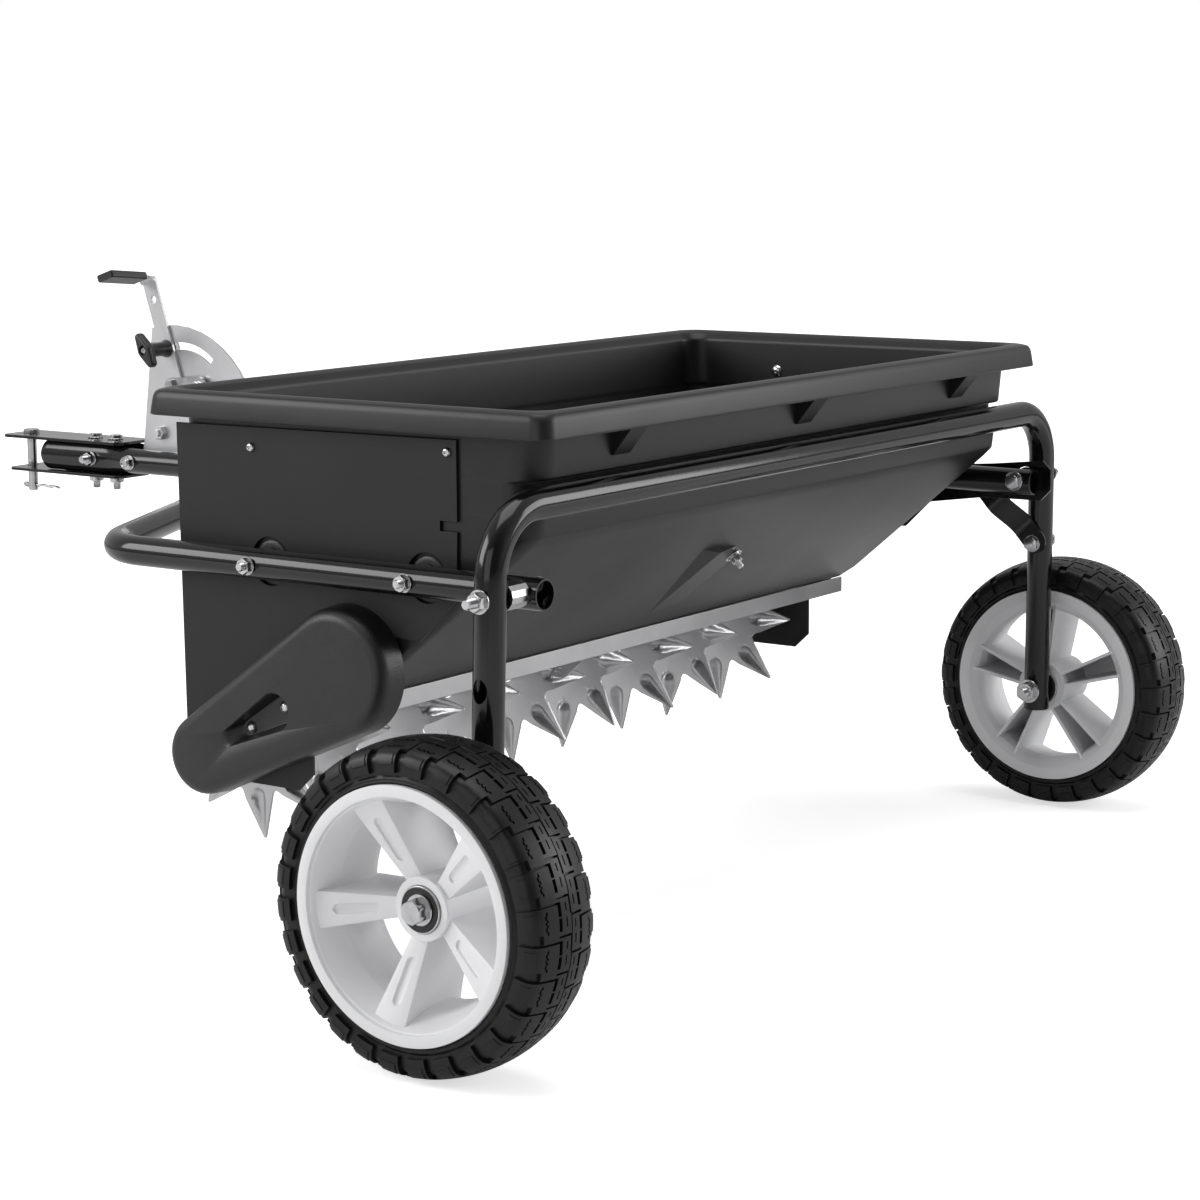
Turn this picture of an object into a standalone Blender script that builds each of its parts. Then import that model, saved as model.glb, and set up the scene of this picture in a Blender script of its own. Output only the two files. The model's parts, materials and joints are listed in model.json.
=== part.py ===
"""Tow-behind drop spreader with a spiked reel, hopper, lever-worked gate and two pneumatic-look wheels.

+X is the machine's right side, +Y points forward to the hitch and +Z is up.
The origin lies on the floor in the middle of the bounding box.
Places along Y are written from the wheel axle and shifted once, when a piece is placed.
"""

import math

import bmesh
import bpy
from mathutils import Vector

mm = 0.001

# Clearances
GAP = 0.3 * mm
HOLE_PLAY = 0.5 * mm

# Wheels
TYRE_RADIUS = 127 * mm
TYRE_HALF_WIDTH = 37.4 * mm
RIM_RADIUS = 98 * mm
RIM_HALF_WIDTH = 38.5 * mm
RIM_MOUTH_RADIUS = 87 * mm
RIM_WAIST_RADIUS = 78 * mm
RIM_WELL_RADIUS = 86.5 * mm
FLANGE_THICKNESS = 5 * mm
BEAD_SEAT_RADIUS = 90.5 * mm
HUB_RADIUS = 24.5 * mm
HUB_OUTER_RECESS = 26 * mm
HUB_INNER_REACH = 46 * mm
BEARING_RADIUS = 18 * mm
SPOKES = 5
SPOKE_HALF_WIDTH_HUB = 7.2 * mm
SPOKE_HALF_WIDTH_RIM = 14.6 * mm
SPOKE_SKIN = 3 * mm
SPOKE_PHASE_LEFT = math.radians(-6.2)
SPOKE_PHASE_RIGHT = math.radians(15)
TREAD_PITCHES = 26
TREAD_EDGE_RADIUS = 117 * mm
TREAD_SHOULDER = 28 * mm
TREAD_SHOULDER_RADIUS = 123.5 * mm
TREAD_DEPTH = 4.5 * mm
AXLE_BOLT_RADIUS = 8 * mm
AXLE_BOLT_FLATS = 24 * mm

# Tubes
TUBE_RADIUS = 12.5 * mm
TUBE_WALL = 1.6 * mm
TUBE_SIDES = 12

# Hopper
HOPPER_HALF_LENGTH = 389.6 * mm
HOPPER_WALL = 3 * mm
HOPPER_REAR_Y = -4.4 * mm
HOPPER_FRONT_Y = 369 * mm
RIM_BOTTOM_Z = 459.7 * mm
RIM_HEIGHT = 21.8 * mm
RIM_OVERHANG = 19.1 * mm
HOPPER_CORNER = 25 * mm
RIM_CORNER = 15 * mm
RIM_LAND = 4 * mm
SLOPE_TOP_Z = 371.5 * mm
HOPPER_BOTTOM_Z = 239 * mm
SLOT_REAR_Y = 177.5 * mm
SLOT_FRONT_Y = 224 * mm
SLOT_HALF_LENGTH = HOPPER_HALF_LENGTH - 15.6 * mm
RIB_X = HOPPER_HALF_LENGTH - 111.6 * mm
TUBE_RECESS_DEPTH = 11 * mm

# Frame
ARM_X = HOPPER_HALF_LENGTH + 17.9 * mm
WHEEL_CENTRE_X = ARM_X + 115 * mm
ARM_Z = 344.7 * mm
ARM_REAR_Y = -21.8 * mm
ARM_BEND_Y = 437 * mm
DRAWBAR_X = 14.3 * mm
DRAWBAR_Z = 357.5 * mm
DRAWBAR_BEND_Y = 594 * mm
DRAWBAR_FRONT_Y = 914 * mm
DRAWBAR_BOLTS_Y = (780 * mm, 839.5 * mm)
DRAWBAR_FLAT_HALF_WIDTH = 7 * mm
DRAWBAR_FLAT_HALF_HEIGHT = 15.3 * mm
FRAME_BEND = 60 * mm
ARM_BOLT_FRONT_Y = 266 * mm
ARM_BOLT_REAR_Y = 104 * mm

# Wheel frame
LEG_Y = -6 * mm
LEG_BOLT_Z = 346.5 * mm
SPACER_LENGTH = 22.4 * mm
LEG_SPLAY = math.radians(1.5)
LEG_LEAN = math.radians(0.9)
LEG_END_Z = 107.5 * mm
CROSS_TUBE_Z = 411.4 * mm
LEG_BEND = 52 * mm
LEG_HOLE_Z = 279 * mm
LEG_FACE_PLAY = 0.7 * mm
BRACE_TOP = (38 * mm, 331.5 * mm)

# End plates
PLATE_THICKNESS = 2.5 * mm
PLATE_FRONT_Y = 366 * mm
PLATE_REAR_Y = 73 * mm
PLATE_TOP_Z = 455 * mm
BOSS_HOLE_RADIUS = 20 * mm
BOSS_RADIUS = 17 * mm
ARM_BOLT_RADIUS = 4 * mm

# Reel, agitator and chain drive
REEL_Y = 312 * mm
REEL_Z = 189 * mm
REEL_SHAFT_RADIUS = 9.8 * mm
REEL_BUSH_RADIUS = 14 * mm
SPIKE_RADIUS = 88 * mm
SPIKE_VALLEY_RADIUS = 49 * mm
SPIKE_OFFSET = 5.3 * mm
SPIKES = 8
DISC_THICKNESS = 2 * mm
DISC_COUNT = 9
LAST_DISC_X = HOPPER_HALF_LENGTH - 43.6 * mm
FIRST_DISC_X = -(HOPPER_HALF_LENGTH - 101.4 * mm)
DISC_PITCH = (LAST_DISC_X - FIRST_DISC_X) / (DISC_COUNT - 2)
CHAIN_SIDE_DISC_X = -(HOPPER_HALF_LENGTH - 24.6 * mm)
SPIKE_PHASE = math.radians(2.6)
AGITATOR_Y = 196 * mm
AGITATOR_Z = 262 * mm
AGITATOR_SHAFT_RADIUS = 6 * mm
AGITATOR_NECK = 9.5 * mm
AGITATOR_BLADE_RADIUS = 22 * mm
REEL_TEETH = 11
AGITATOR_TEETH = 20
CHAIN_PITCH = 8 * mm
CHAIN_X = -(HOPPER_HALF_LENGTH + 10.4 * mm)

# Chain cover
COVER_LARGE_Y = 181 * mm
COVER_LARGE_Z = 262 * mm
COVER_LARGE_RADIUS = 53.6 * mm
COVER_SMALL_Y = 325 * mm
COVER_SMALL_Z = 180 * mm
COVER_SMALL_RADIUS = 33.6 * mm
COVER_FACE_X = -(HOPPER_HALF_LENGTH + 30.4 * mm)
COVER_WALL = 2.5 * mm
POCKET_FLOOR_X = COVER_FACE_X + 13.5 * mm
COVER_SCREWS = ((278 * mm, 208 * mm), (241 * mm, 229 * mm))

# Bottom channel and gate
CHANNEL_HEIGHT = 15 * mm
SHEET = 1.5 * mm
OUTLET_COUNT = 12
OUTLET_PITCH = 60 * mm
OUTLET_SIZE = 15 * mm
GATE_OVERLAP = 3 * mm

# Control lever
LEVER_PIVOT_Y = 726.3 * mm
LEVER_PIVOT_Z = 416 * mm
LEVER_LEAN = math.radians(18)
LEVER_LENGTH = 135 * mm
LEVER_WIDTH = 18 * mm
LEVER_HOLE_DISTANCE = 111.5 * mm
LEVER_SHEET = 3 * mm
SLOT_ARC_RADIUS = 60.3 * mm
SLOT_HALF_WIDTH = 3.75 * mm
LEVER_TRAVEL = math.radians(55)
LINK_RADIUS = 23.5 * mm
LINK_LEAD = math.radians(8)
TAB_LENGTH = 57 * mm
TAB_RISE = 0.09
GRIP_WIDTH = 22 * mm
GRIP_HEIGHT = 7.6 * mm
QUADRANT_RADIUS = 111 * mm
QUADRANT_CENTRE_Y = 738 * mm
QUADRANT_CENTRE_Z = 386 * mm

# Rod from the lever to the gate
ROD_X = -61 * mm
ROD_RADIUS = 3.5 * mm
ROD_PIN_RADIUS = 2.8 * mm
ROD_REAR = (222 * mm, 209 * mm)
LUG_X = ROD_X + ROD_RADIUS + 1 * mm

# Hitch
HITCH_TIP_Y = 966 * mm
HITCH_REAR_Y = 796 * mm
HITCH_HALF_WIDTH = 26 * mm
HITCH_SHEET = 3 * mm
PLATE_BOLTS_Y = (825 * mm, 854 * mm)
HITCH_PIN_Y = 948 * mm
HITCH_PIN_RADIUS = 5 * mm

# The box reaches from the back of the tyres to the tip of the hitch.
AXLE_Y = -(HITCH_TIP_Y - TYRE_RADIUS) / 2

BLACK_STEEL = ((0.012, 0.012, 0.013), 0.28, 0.0)
BLACK_PLASTIC = ((0.02, 0.02, 0.021), 0.42, 0.0)
COVER_PLASTIC = ((0.022, 0.022, 0.023), 0.55, 0.0)
GALVANISED = ((0.62, 0.63, 0.64), 0.38, 1.0)
ZINC = ((0.66, 0.66, 0.65), 0.3, 1.0)
WHITE_PLASTIC = ((0.78, 0.78, 0.77), 0.4, 0.0)
RUBBER = ((0.025, 0.025, 0.026), 0.7, 0.0)


def clear_scene():
    for obj in list(bpy.data.objects):
        bpy.data.objects.remove(obj, do_unlink=True)


def make_material(name, finish):
    colour, roughness, metallic = finish
    material = bpy.data.materials.new(name)
    material.use_nodes = True
    shader = material.node_tree.nodes["Principled BSDF"]
    shader.inputs["Base Color"].default_value = (*colour, 1.0)
    shader.inputs["Roughness"].default_value = roughness
    shader.inputs["Metallic"].default_value = metallic
    material.diffuse_color = (*colour, 1.0)
    return material


def place(name, bm, finish, pivot=(0, 0, 0), smooth=False):
    """Turns a bmesh, drawn in axle coordinates, into an object whose origin is the pivot."""
    pivot = Vector(pivot)
    bmesh.ops.translate(bm, verts=bm.verts, vec=-pivot)
    bmesh.ops.recalc_face_normals(bm, faces=bm.faces)
    mesh = bpy.data.meshes.new(name)
    bm.to_mesh(mesh)
    bm.free()
    if smooth:
        mesh.shade_smooth()
        mesh.set_sharp_from_angle(angle=math.radians(35))
    obj = bpy.data.objects.new(name, mesh)
    obj.location = pivot + Vector((0, AXLE_Y, 0))
    bpy.context.scene.collection.objects.link(obj)
    if finish:
        mesh.materials.append(make_material(name, finish))
    return obj


def boolean(obj, bm, label, operation="DIFFERENCE"):
    """Cuts or joins a helper shape, which itself stays out of the build."""
    helper = place(f"{obj.name}_{label}", bm, None)
    helper.hide_render = True
    helper.display_type = "WIRE"
    modifier = obj.modifiers.new(label, "BOOLEAN")
    modifier.operation = operation
    modifier.object = helper
    return helper


def bridge_rings(bm, rings, closed=False):
    """Skins a row of point rings. Open rows get a face at each end, closed rows join up."""
    loops = [[bm.verts.new(point) for point in ring] for ring in rings]
    pairs = list(zip(loops, loops[1:]))
    if closed:
        pairs.append((loops[-1], loops[0]))
    for lower, upper in pairs:
        count = len(lower)
        for i in range(count):
            j = (i + 1) % count
            bm.faces.new((lower[i], lower[j], upper[j], upper[i]))
    if not closed:
        bm.faces.new(list(reversed(loops[0])))
        bm.faces.new(loops[-1])


def axes_for(direction):
    along = Vector(direction).normalized()
    helper = Vector((0, 0, 1)) if abs(along.z) < 0.9 else Vector((0, 1, 0))
    side = along.cross(helper).normalized()
    return along, side, side.cross(along).normalized()


def circle(centre, direction, radius, sides, turn=0.0):
    along, side, up = axes_for(direction)
    points = []
    for i in range(sides):
        angle = turn + 2 * math.pi * i / sides
        points.append(Vector(centre) + radius * (math.cos(angle) * side + math.sin(angle) * up))
    return points


def stack(bm, start, direction, sections, sides, turn=0.0):
    """A turned or hexagonal body: sections are (distance along, corner radius)."""
    along = Vector(direction).normalized()
    rings = [circle(Vector(start) + along * d, along, r, sides, turn) for d, r in sections]
    bridge_rings(bm, rings)


def cylinder(bm, start, end, radius, sides=16):
    length = (Vector(end) - Vector(start)).length
    stack(bm, start, Vector(end) - Vector(start), [(0, radius), (length, radius)], sides)


def drill(bm, start, end, radius, sides=16):
    """A cutter whose flats, not its corners, lie at the radius."""
    cylinder(bm, start, end, radius / math.cos(math.pi / sides), sides)


def sleeve(bm, start, end, outer, inner, sides=16):
    """A ring or tube with a through bore."""
    direction = Vector(end) - Vector(start)
    rings = [circle(p, direction, r, sides) for p, r in
             ((start, outer), (end, outer), (end, inner), (start, inner))]
    bridge_rings(bm, rings, closed=True)


def lathe_x(bm, centre, profile, segments):
    """Revolves a closed profile of (x, radius) points round the X axis through the centre."""
    centre = Vector(centre)
    rings = []
    for i in range(segments):
        angle = 2 * math.pi * i / segments
        rings.append([centre + Vector((x, r * math.cos(angle), r * math.sin(angle))) for x, r in profile])
    bridge_rings(bm, rings, closed=True)


def prism_x(bm, outline, x0, x1):
    """A flat plate: an outline of (y, z) points between two X planes."""
    bridge_rings(bm, [[Vector((x, y, z)) for y, z in outline] for x in (x0, x1)])


def box(bm, low, high):
    outline = ((low[1], low[2]), (high[1], low[2]), (high[1], high[2]), (low[1], high[2]))
    prism_x(bm, outline, low[0], high[0])


def corner_radius(flats):
    return flats / 2 / math.cos(math.pi / 6)


def hex_bolt(bm, start, direction, grip, radius, flats, tail=8 * mm, sides=6):
    """Head, shank, nut and thread end as one body. start is the surface under the head."""
    head = 1.1 * radius
    nut = 1.6 * radius
    corner = corner_radius(flats)
    reach = grip + GAP
    sections = [
        (-GAP - head, corner * 0.88),
        (-GAP - head * 0.8, corner),
        (-GAP, corner),
        (-GAP, radius),
        (reach, radius),
        (reach, corner),
        (reach + nut * 0.85, corner),
        (reach + nut, corner * 0.88),
        (reach + nut, radius),
        (reach + nut + tail, radius * 0.9),
    ]
    stack(bm, start, direction, sections, sides)


def arc(centre, radius, start, end, steps):
    """Points on an arc in the YZ plane. Angles run from +Y towards +Z."""
    points = []
    for i in range(steps + 1):
        angle = start + (end - start) * i / steps
        points.append((centre[0] + radius * math.cos(angle), centre[1] + radius * math.sin(angle)))
    return points


def tapered_outline(large, large_radius, small, small_radius, steps):
    """The outline of a belt round two circles in the YZ plane."""
    run = Vector(small) - Vector(large)
    heading = math.atan2(run.y, run.x)
    lean = math.acos((large_radius - small_radius) / run.length)
    points = arc(large, large_radius, heading + lean, heading + 2 * math.pi - lean, 2 * steps)
    points += arc(small, small_radius, heading - lean, heading + lean, steps)
    return points


def round_corners(corners, radius, steps):
    """A path through corner points whose inner corners become arcs."""
    path = [Vector(corners[0])]
    for before, corner, after in zip(corners, corners[1:], corners[2:]):
        before, corner, after = Vector(before), Vector(corner), Vector(after)
        into = (corner - before).normalized()
        out = (after - corner).normalized()
        turn = into.angle(out)
        setback = radius * math.tan(turn / 2)
        centre = corner + (out - into).normalized() * radius / math.cos(turn / 2)
        first = corner - into * setback
        last = corner + out * setback
        for i in range(steps + 1):
            path.append(centre + (first - centre).normalized().slerp((last - centre).normalized(), i / steps) * radius)
    path.append(Vector(corners[-1]))
    return path


def path_rings(path, reference, radius, sides, squash=None):
    """Rings square to a path. squash gives the half width and half height factors of ring i."""
    rings = []
    for i, point in enumerate(path):
        back = path[max(i - 1, 0)]
        ahead = path[min(i + 1, len(path) - 1)]
        tangent = (ahead - back).normalized()
        side = tangent.cross(Vector(reference)).normalized()
        up = side.cross(tangent).normalized()
        wide, high = squash(i) if squash else (1.0, 1.0)
        ring = []
        for k in range(sides):
            angle = 2 * math.pi * (k + 0.5) / sides
            ring.append(point + radius * (wide * math.cos(angle) * side + high * math.sin(angle) * up))
        rings.append(ring)
    return rings


def hollow_tube(bm, path, reference):
    outer = path_rings(path, reference, TUBE_RADIUS, TUBE_SIDES)
    inner = path_rings(path, reference, TUBE_RADIUS - TUBE_WALL, TUBE_SIDES)
    bridge_rings(bm, outer + list(reversed(inner)), closed=True)


def rounded_ring(half_x, rear, front, radius, z, steps=3):
    """A rectangle with round corners, at one height of the hopper."""
    ring = []
    corners = ((1, 1, 0), (-1, 1, 90), (-1, -1, 180), (1, -1, 270))
    for sx, sy, start in corners:
        cx = sx * (half_x - radius)
        cy = (front - radius) if sy > 0 else (rear + radius)
        for i in range(steps + 1):
            angle = math.radians(start + 90 * i / steps)
            ring.append(Vector((cx + radius * math.cos(angle), cy + radius * math.sin(angle), z)))
    return ring


def slope_rear(z):
    """Outer rear wall of the hopper's sloping part."""
    share = (SLOPE_TOP_Z - z) / (SLOPE_TOP_Z - HOPPER_BOTTOM_Z)
    top = HOPPER_REAR_Y + 22 * mm
    return top + (SLOT_REAR_Y - top) * share


def slope_front(z):
    share = (SLOPE_TOP_Z - z) / (SLOPE_TOP_Z - HOPPER_BOTTOM_Z)
    top = HOPPER_FRONT_Y - 22 * mm
    return top + (SLOT_FRONT_Y - top) * share


def build_hopper():
    rear, front, end, skin = HOPPER_REAR_Y, HOPPER_FRONT_Y, HOPPER_HALF_LENGTH, HOPPER_WALL
    corner = HOPPER_CORNER
    slant = skin / math.sin(math.atan2(SLOPE_TOP_Z - HOPPER_BOTTOM_Z, SLOT_REAR_Y - rear - 22 * mm))
    recess_top = CROSS_TUBE_Z + TUBE_RADIUS
    recess_bottom = CROSS_TUBE_Z - TUBE_RADIUS
    recess_y = rear + TUBE_RECESS_DEPTH + 6 * mm
    rim_top = RIM_BOTTOM_Z + RIM_HEIGHT
    lip = RIM_OVERHANG

    def around(offset, radius, z):
        return rounded_ring(end + offset, rear - offset, front + offset, radius, z)

    rings = [
        around(-skin, corner - skin, rim_top - 9 * mm),
        around(-skin + 4 * mm, corner - skin, rim_top - 2.5 * mm),
        around(lip - 9 * mm - RIM_LAND, RIM_CORNER + 5 * mm, rim_top),
        around(lip - 9 * mm, RIM_CORNER + 3 * mm, rim_top),
        around(lip - 4 * mm, RIM_CORNER, rim_top - 1.8 * mm),
        around(lip - 2 * mm, RIM_CORNER, rim_top - 6 * mm),
        around(lip, RIM_CORNER, RIM_BOTTOM_Z),
        around(lip - skin, RIM_CORNER - 2 * mm, RIM_BOTTOM_Z),
        around(lip - skin - 2 * mm, RIM_CORNER - 2 * mm, rim_top - 7 * mm),
        around(0, corner, rim_top - 6.5 * mm),
        rounded_ring(end, rear + 4.6 * mm, front - 2 * mm, corner, recess_top + 2 * mm),
        rounded_ring(end, recess_y, front - 2 * mm, corner - 5 * mm, recess_top),
        rounded_ring(end, recess_y, front - 3 * mm, corner - 5 * mm, recess_bottom),
        rounded_ring(end, rear + 10 * mm, front - 3 * mm, corner - 3 * mm, recess_bottom - 2 * mm),
        rounded_ring(end, rear + 12 * mm, front - 4 * mm, corner - 3 * mm, SLOPE_TOP_Z + 9 * mm),
        rounded_ring(end, slope_rear(SLOPE_TOP_Z), slope_front(SLOPE_TOP_Z), corner - 5 * mm, SLOPE_TOP_Z),
        rounded_ring(end, slope_rear(HOPPER_BOTTOM_Z + 10 * mm), slope_front(HOPPER_BOTTOM_Z + 10 * mm),
                     10 * mm, HOPPER_BOTTOM_Z + 10 * mm),
        rounded_ring(SLOT_HALF_LENGTH + 3 * mm, SLOT_REAR_Y, SLOT_FRONT_Y, 8 * mm, HOPPER_BOTTOM_Z),
        rounded_ring(SLOT_HALF_LENGTH - 1 * mm, SLOT_REAR_Y + slant, SLOT_FRONT_Y - slant, 6 * mm,
                     HOPPER_BOTTOM_Z),
        rounded_ring(end - skin, slope_rear(HOPPER_BOTTOM_Z + 11 * mm) + slant,
                     slope_front(HOPPER_BOTTOM_Z + 11 * mm) - slant, 8 * mm, HOPPER_BOTTOM_Z + 11 * mm),
        rounded_ring(end - skin, slope_rear(SLOPE_TOP_Z) + slant, slope_front(SLOPE_TOP_Z) - slant,
                     corner - 8 * mm, SLOPE_TOP_Z + 1 * mm),
        rounded_ring(end - skin, rear + 12 * mm + skin, front - 4 * mm - skin, corner - 6 * mm,
                     SLOPE_TOP_Z + 10 * mm),
        rounded_ring(end - skin, rear + 10 * mm + skin, front - 3 * mm - skin, corner - 6 * mm,
                     recess_bottom - 4 * mm),
        rounded_ring(end - skin, recess_y + skin, front - 3 * mm - skin, corner - 8 * mm,
                     recess_bottom - 1 * mm),
        rounded_ring(end - skin, recess_y + skin, front - 2 * mm - skin, corner - 8 * mm,
                     recess_top + 1 * mm),
        rounded_ring(end - skin, rear + 4.6 * mm + skin, front - 2 * mm - skin, corner - skin,
                     recess_top + 4 * mm),
    ]
    bm = bmesh.new()
    bridge_rings(bm, rings, closed=True)
    hopper = place("hopper_trough", bm, BLACK_PLASTIC, smooth=True)

    # Three ribs brace the rim along the back.
    ribs = bmesh.new()
    rib_half = 12 * mm
    skirt = rear - lip + 1.5 * mm
    rib_outline = (
        (skirt, RIM_BOTTOM_Z + 1.8 * mm),
        (skirt, rim_top - 9 * mm),
        (rear + 1.5 * mm, rim_top - 9 * mm),
        (rear + 4.6 * mm, RIM_BOTTOM_Z - 22 * mm),
        (rear + 1.6 * mm, RIM_BOTTOM_Z - 22 * mm),
    )
    for x in (-RIB_X, 0.0, RIB_X):
        prism_x(ribs, rib_outline, x - rib_half, x + rib_half)
    boolean(hopper, ribs, "ribs", "UNION")

    # Bosses on the end walls pass through the plates to the arms and carry the agitator.
    holes = bmesh.new()
    arm_face = ARM_X - TUBE_RADIUS - GAP
    for side in (-1, 1):
        spots = [(ARM_BOLT_REAR_Y, ARM_Z, BOSS_RADIUS, arm_face, ARM_BOLT_RADIUS + HOLE_PLAY),
                 (ARM_BOLT_FRONT_Y, ARM_Z, BOSS_RADIUS, arm_face, ARM_BOLT_RADIUS + HOLE_PLAY),
                 (AGITATOR_Y, AGITATOR_Z, AGITATOR_NECK, end + PLATE_THICKNESS + 1 * mm, AGITATOR_SHAFT_RADIUS)]
        for i, (y, z, radius, reach, bore) in enumerate(spots):
            boss = bmesh.new()
            cylinder(boss, (side * (end - 1 * mm), y, z), (side * reach, y, z), radius, 14)
            boolean(hopper, boss, f"boss_{side}_{i}", "UNION")
            drill(holes, (side * (end - 8 * mm), y, z), (side * (reach + 5 * mm), y, z), bore, 10)
    boolean(hopper, holes, "holes")

    # A bolt clamped through the rear slope
    point, normal = rear_slope_bolt()
    bolt = bmesh.new()
    hex_bolt(bolt, point - normal * (HOPPER_WALL - 2 * GAP), normal, HOPPER_WALL - 4 * GAP, 3 * mm, 10 * mm, 5 * mm)
    boolean(hopper, bolt, "bolt", "UNION")
    return hopper


def rear_slope_bolt():
    """The point on the outside of the rear slope where a bolt comes through, and the way out of the wall."""
    z = 311 * mm
    point = Vector((33 * mm, slope_rear(z), z))
    run = SLOT_REAR_Y - HOPPER_REAR_Y - 22 * mm
    drop = SLOPE_TOP_Z - HOPPER_BOTTOM_Z
    return point, Vector((0, -drop, -run)).normalized()


def build_end_plates():
    inner = HOPPER_HALF_LENGTH + GAP
    outer = inner + PLATE_THICKNESS
    outline = [
        (PLATE_FRONT_Y, PLATE_TOP_Z - 2 * mm),
        (PLATE_REAR_Y, PLATE_TOP_Z),
        (PLATE_REAR_Y, 391 * mm),
        (PLATE_REAR_Y + 17 * mm, 391 * mm),
        (PLATE_REAR_Y + 17 * mm, 383 * mm),
        (PLATE_REAR_Y, 383 * mm),
        (PLATE_REAR_Y + 1.5 * mm, 330 * mm),
        (112 * mm, 293.5 * mm),
        (138 * mm, 294.5 * mm),
        (150 * mm, 262 * mm),
        (172 * mm, 240 * mm),
        (180 * mm, 219 * mm),
        (225 * mm, 212 * mm),
        (225 * mm, 172 * mm),
        (241 * mm, 157 * mm),
        (335 * mm, 157 * mm),
        (PLATE_FRONT_Y - 2.5 * mm, 186 * mm),
    ]
    for label, side in (("left", -1), ("right", 1)):
        bm = bmesh.new()
        prism_x(bm, outline, side * inner, side * outer)
        plate = place(f"end_plate_{label}", bm, BLACK_STEEL)
        holes = bmesh.new()
        low = side * (inner - 5 * mm)
        high = side * (outer + 5 * mm)
        for y in (ARM_BOLT_REAR_Y, ARM_BOLT_FRONT_Y):
            drill(holes, (low, y, ARM_Z), (high, y, ARM_Z), BOSS_HOLE_RADIUS, 16)
        drill(holes, (low, REEL_Y, REEL_Z), (high, REEL_Y, REEL_Z), REEL_BUSH_RADIUS + HOLE_PLAY, 16)
        drill(holes, (low, AGITATOR_Y, AGITATOR_Z), (high, AGITATOR_Y, AGITATOR_Z),
                 AGITATOR_NECK + HOLE_PLAY, 12)
        boolean(plate, holes, "holes")

        # Rivets along the top edge
        for i, (y, z) in enumerate(((82 * mm, 445 * mm), (284 * mm, 437 * mm))):
            rivet = bmesh.new()
            stack(rivet, (side * (outer - 1 * mm), y, z), (side, 0, 0),
                  [(0, 5.5 * mm), (2.5 * mm, 5 * mm), (4.5 * mm, 2.5 * mm)], 8)
            boolean(plate, rivet, f"rivet_{i}", "UNION")


def build_arms():
    """Two side tubes that run along the hopper, bend inward and meet as the drawbar."""
    for label, side in (("left", -1), ("right", 1)):
        corners = [
            (side * ARM_X, ARM_REAR_Y, ARM_Z),
            (side * ARM_X, ARM_BEND_Y, ARM_Z),
            (side * DRAWBAR_X, DRAWBAR_BEND_Y, DRAWBAR_Z),
            (side * DRAWBAR_X, DRAWBAR_FRONT_Y - 130 * mm, DRAWBAR_Z),
        ]
        bored = round_corners(corners, FRAME_BEND, 3)
        flat_share = DRAWBAR_FLAT_HALF_WIDTH / TUBE_RADIUS
        tall_share = DRAWBAR_FLAT_HALF_HEIGHT / TUBE_RADIUS
        # Distances from the front end, with the width and height factors there
        nose = [
            (110 * mm, 1.0, 1.0),
            (88 * mm, flat_share, tall_share),
            (9 * mm, flat_share, tall_share),
            (2.5 * mm, flat_share, tall_share * 0.8),
            (0.0, flat_share * 0.9, tall_share * 0.45),
        ]
        points = bored + [Vector((side * DRAWBAR_X, DRAWBAR_FRONT_Y - d, DRAWBAR_Z)) for d, _, _ in nose]
        factors = [(1.0, 1.0)] * len(bored) + [(w, h) for _, w, h in nose]
        outer = path_rings(points, (0, 0, 1), TUBE_RADIUS, TUBE_SIDES, lambda i: factors[i])
        inner = path_rings(bored, (0, 0, 1), TUBE_RADIUS - TUBE_WALL, TUBE_SIDES)
        bm = bmesh.new()
        bridge_arm(bm, outer, inner)
        arm = place(f"frame_tube_{label}", bm, BLACK_STEEL, smooth=True)

        holes = bmesh.new()
        for y in (ARM_BOLT_REAR_Y, ARM_BOLT_FRONT_Y):
            drill(holes, (side * (ARM_X - 20 * mm), y, ARM_Z), (side * (ARM_X + 20 * mm), y, ARM_Z),
                     ARM_BOLT_RADIUS + HOLE_PLAY, 8)
        drill(holes, (side * (ARM_X - 20 * mm), LEG_Y, LEG_BOLT_Z),
                 (side * (ARM_X + 20 * mm), LEG_Y, LEG_BOLT_Z), 5 * mm + HOLE_PLAY, 8)
        for y in DRAWBAR_BOLTS_Y:
            drill(holes, (0, y, DRAWBAR_Z), (side * 34 * mm, y, DRAWBAR_Z),
                     4 * mm + HOLE_PLAY, 8)
        boolean(arm, holes, "holes")


def bridge_arm(bm, outer, inner):
    """Outer skin closed at the nose, inner skin closed where the bore ends, joined at the open rear end."""
    skins = [list(reversed(outer)), inner]
    loops = [[bm.verts.new(p) for p in ring] for ring in skins[0] + skins[1]]
    for lower, upper in zip(loops, loops[1:]):
        count = len(lower)
        for i in range(count):
            j = (i + 1) % count
            bm.faces.new((lower[i], lower[j], upper[j], upper[i]))
    bm.faces.new(loops[0])
    bm.faces.new(list(reversed(loops[-1])))


def leg_x(z):
    """Centre of a wheel leg at one height, as a distance from the middle plane."""
    at_bolt = ARM_X + 2 * TUBE_RADIUS + SPACER_LENGTH
    return at_bolt + (LEG_BOLT_Z - z) * math.tan(LEG_SPLAY)


def leg_y(z):
    """Centre of a wheel leg at one height: the legs lean back towards the top."""
    return LEG_Y + (LEG_BOLT_Z - z) * math.tan(LEG_LEAN)


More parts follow.
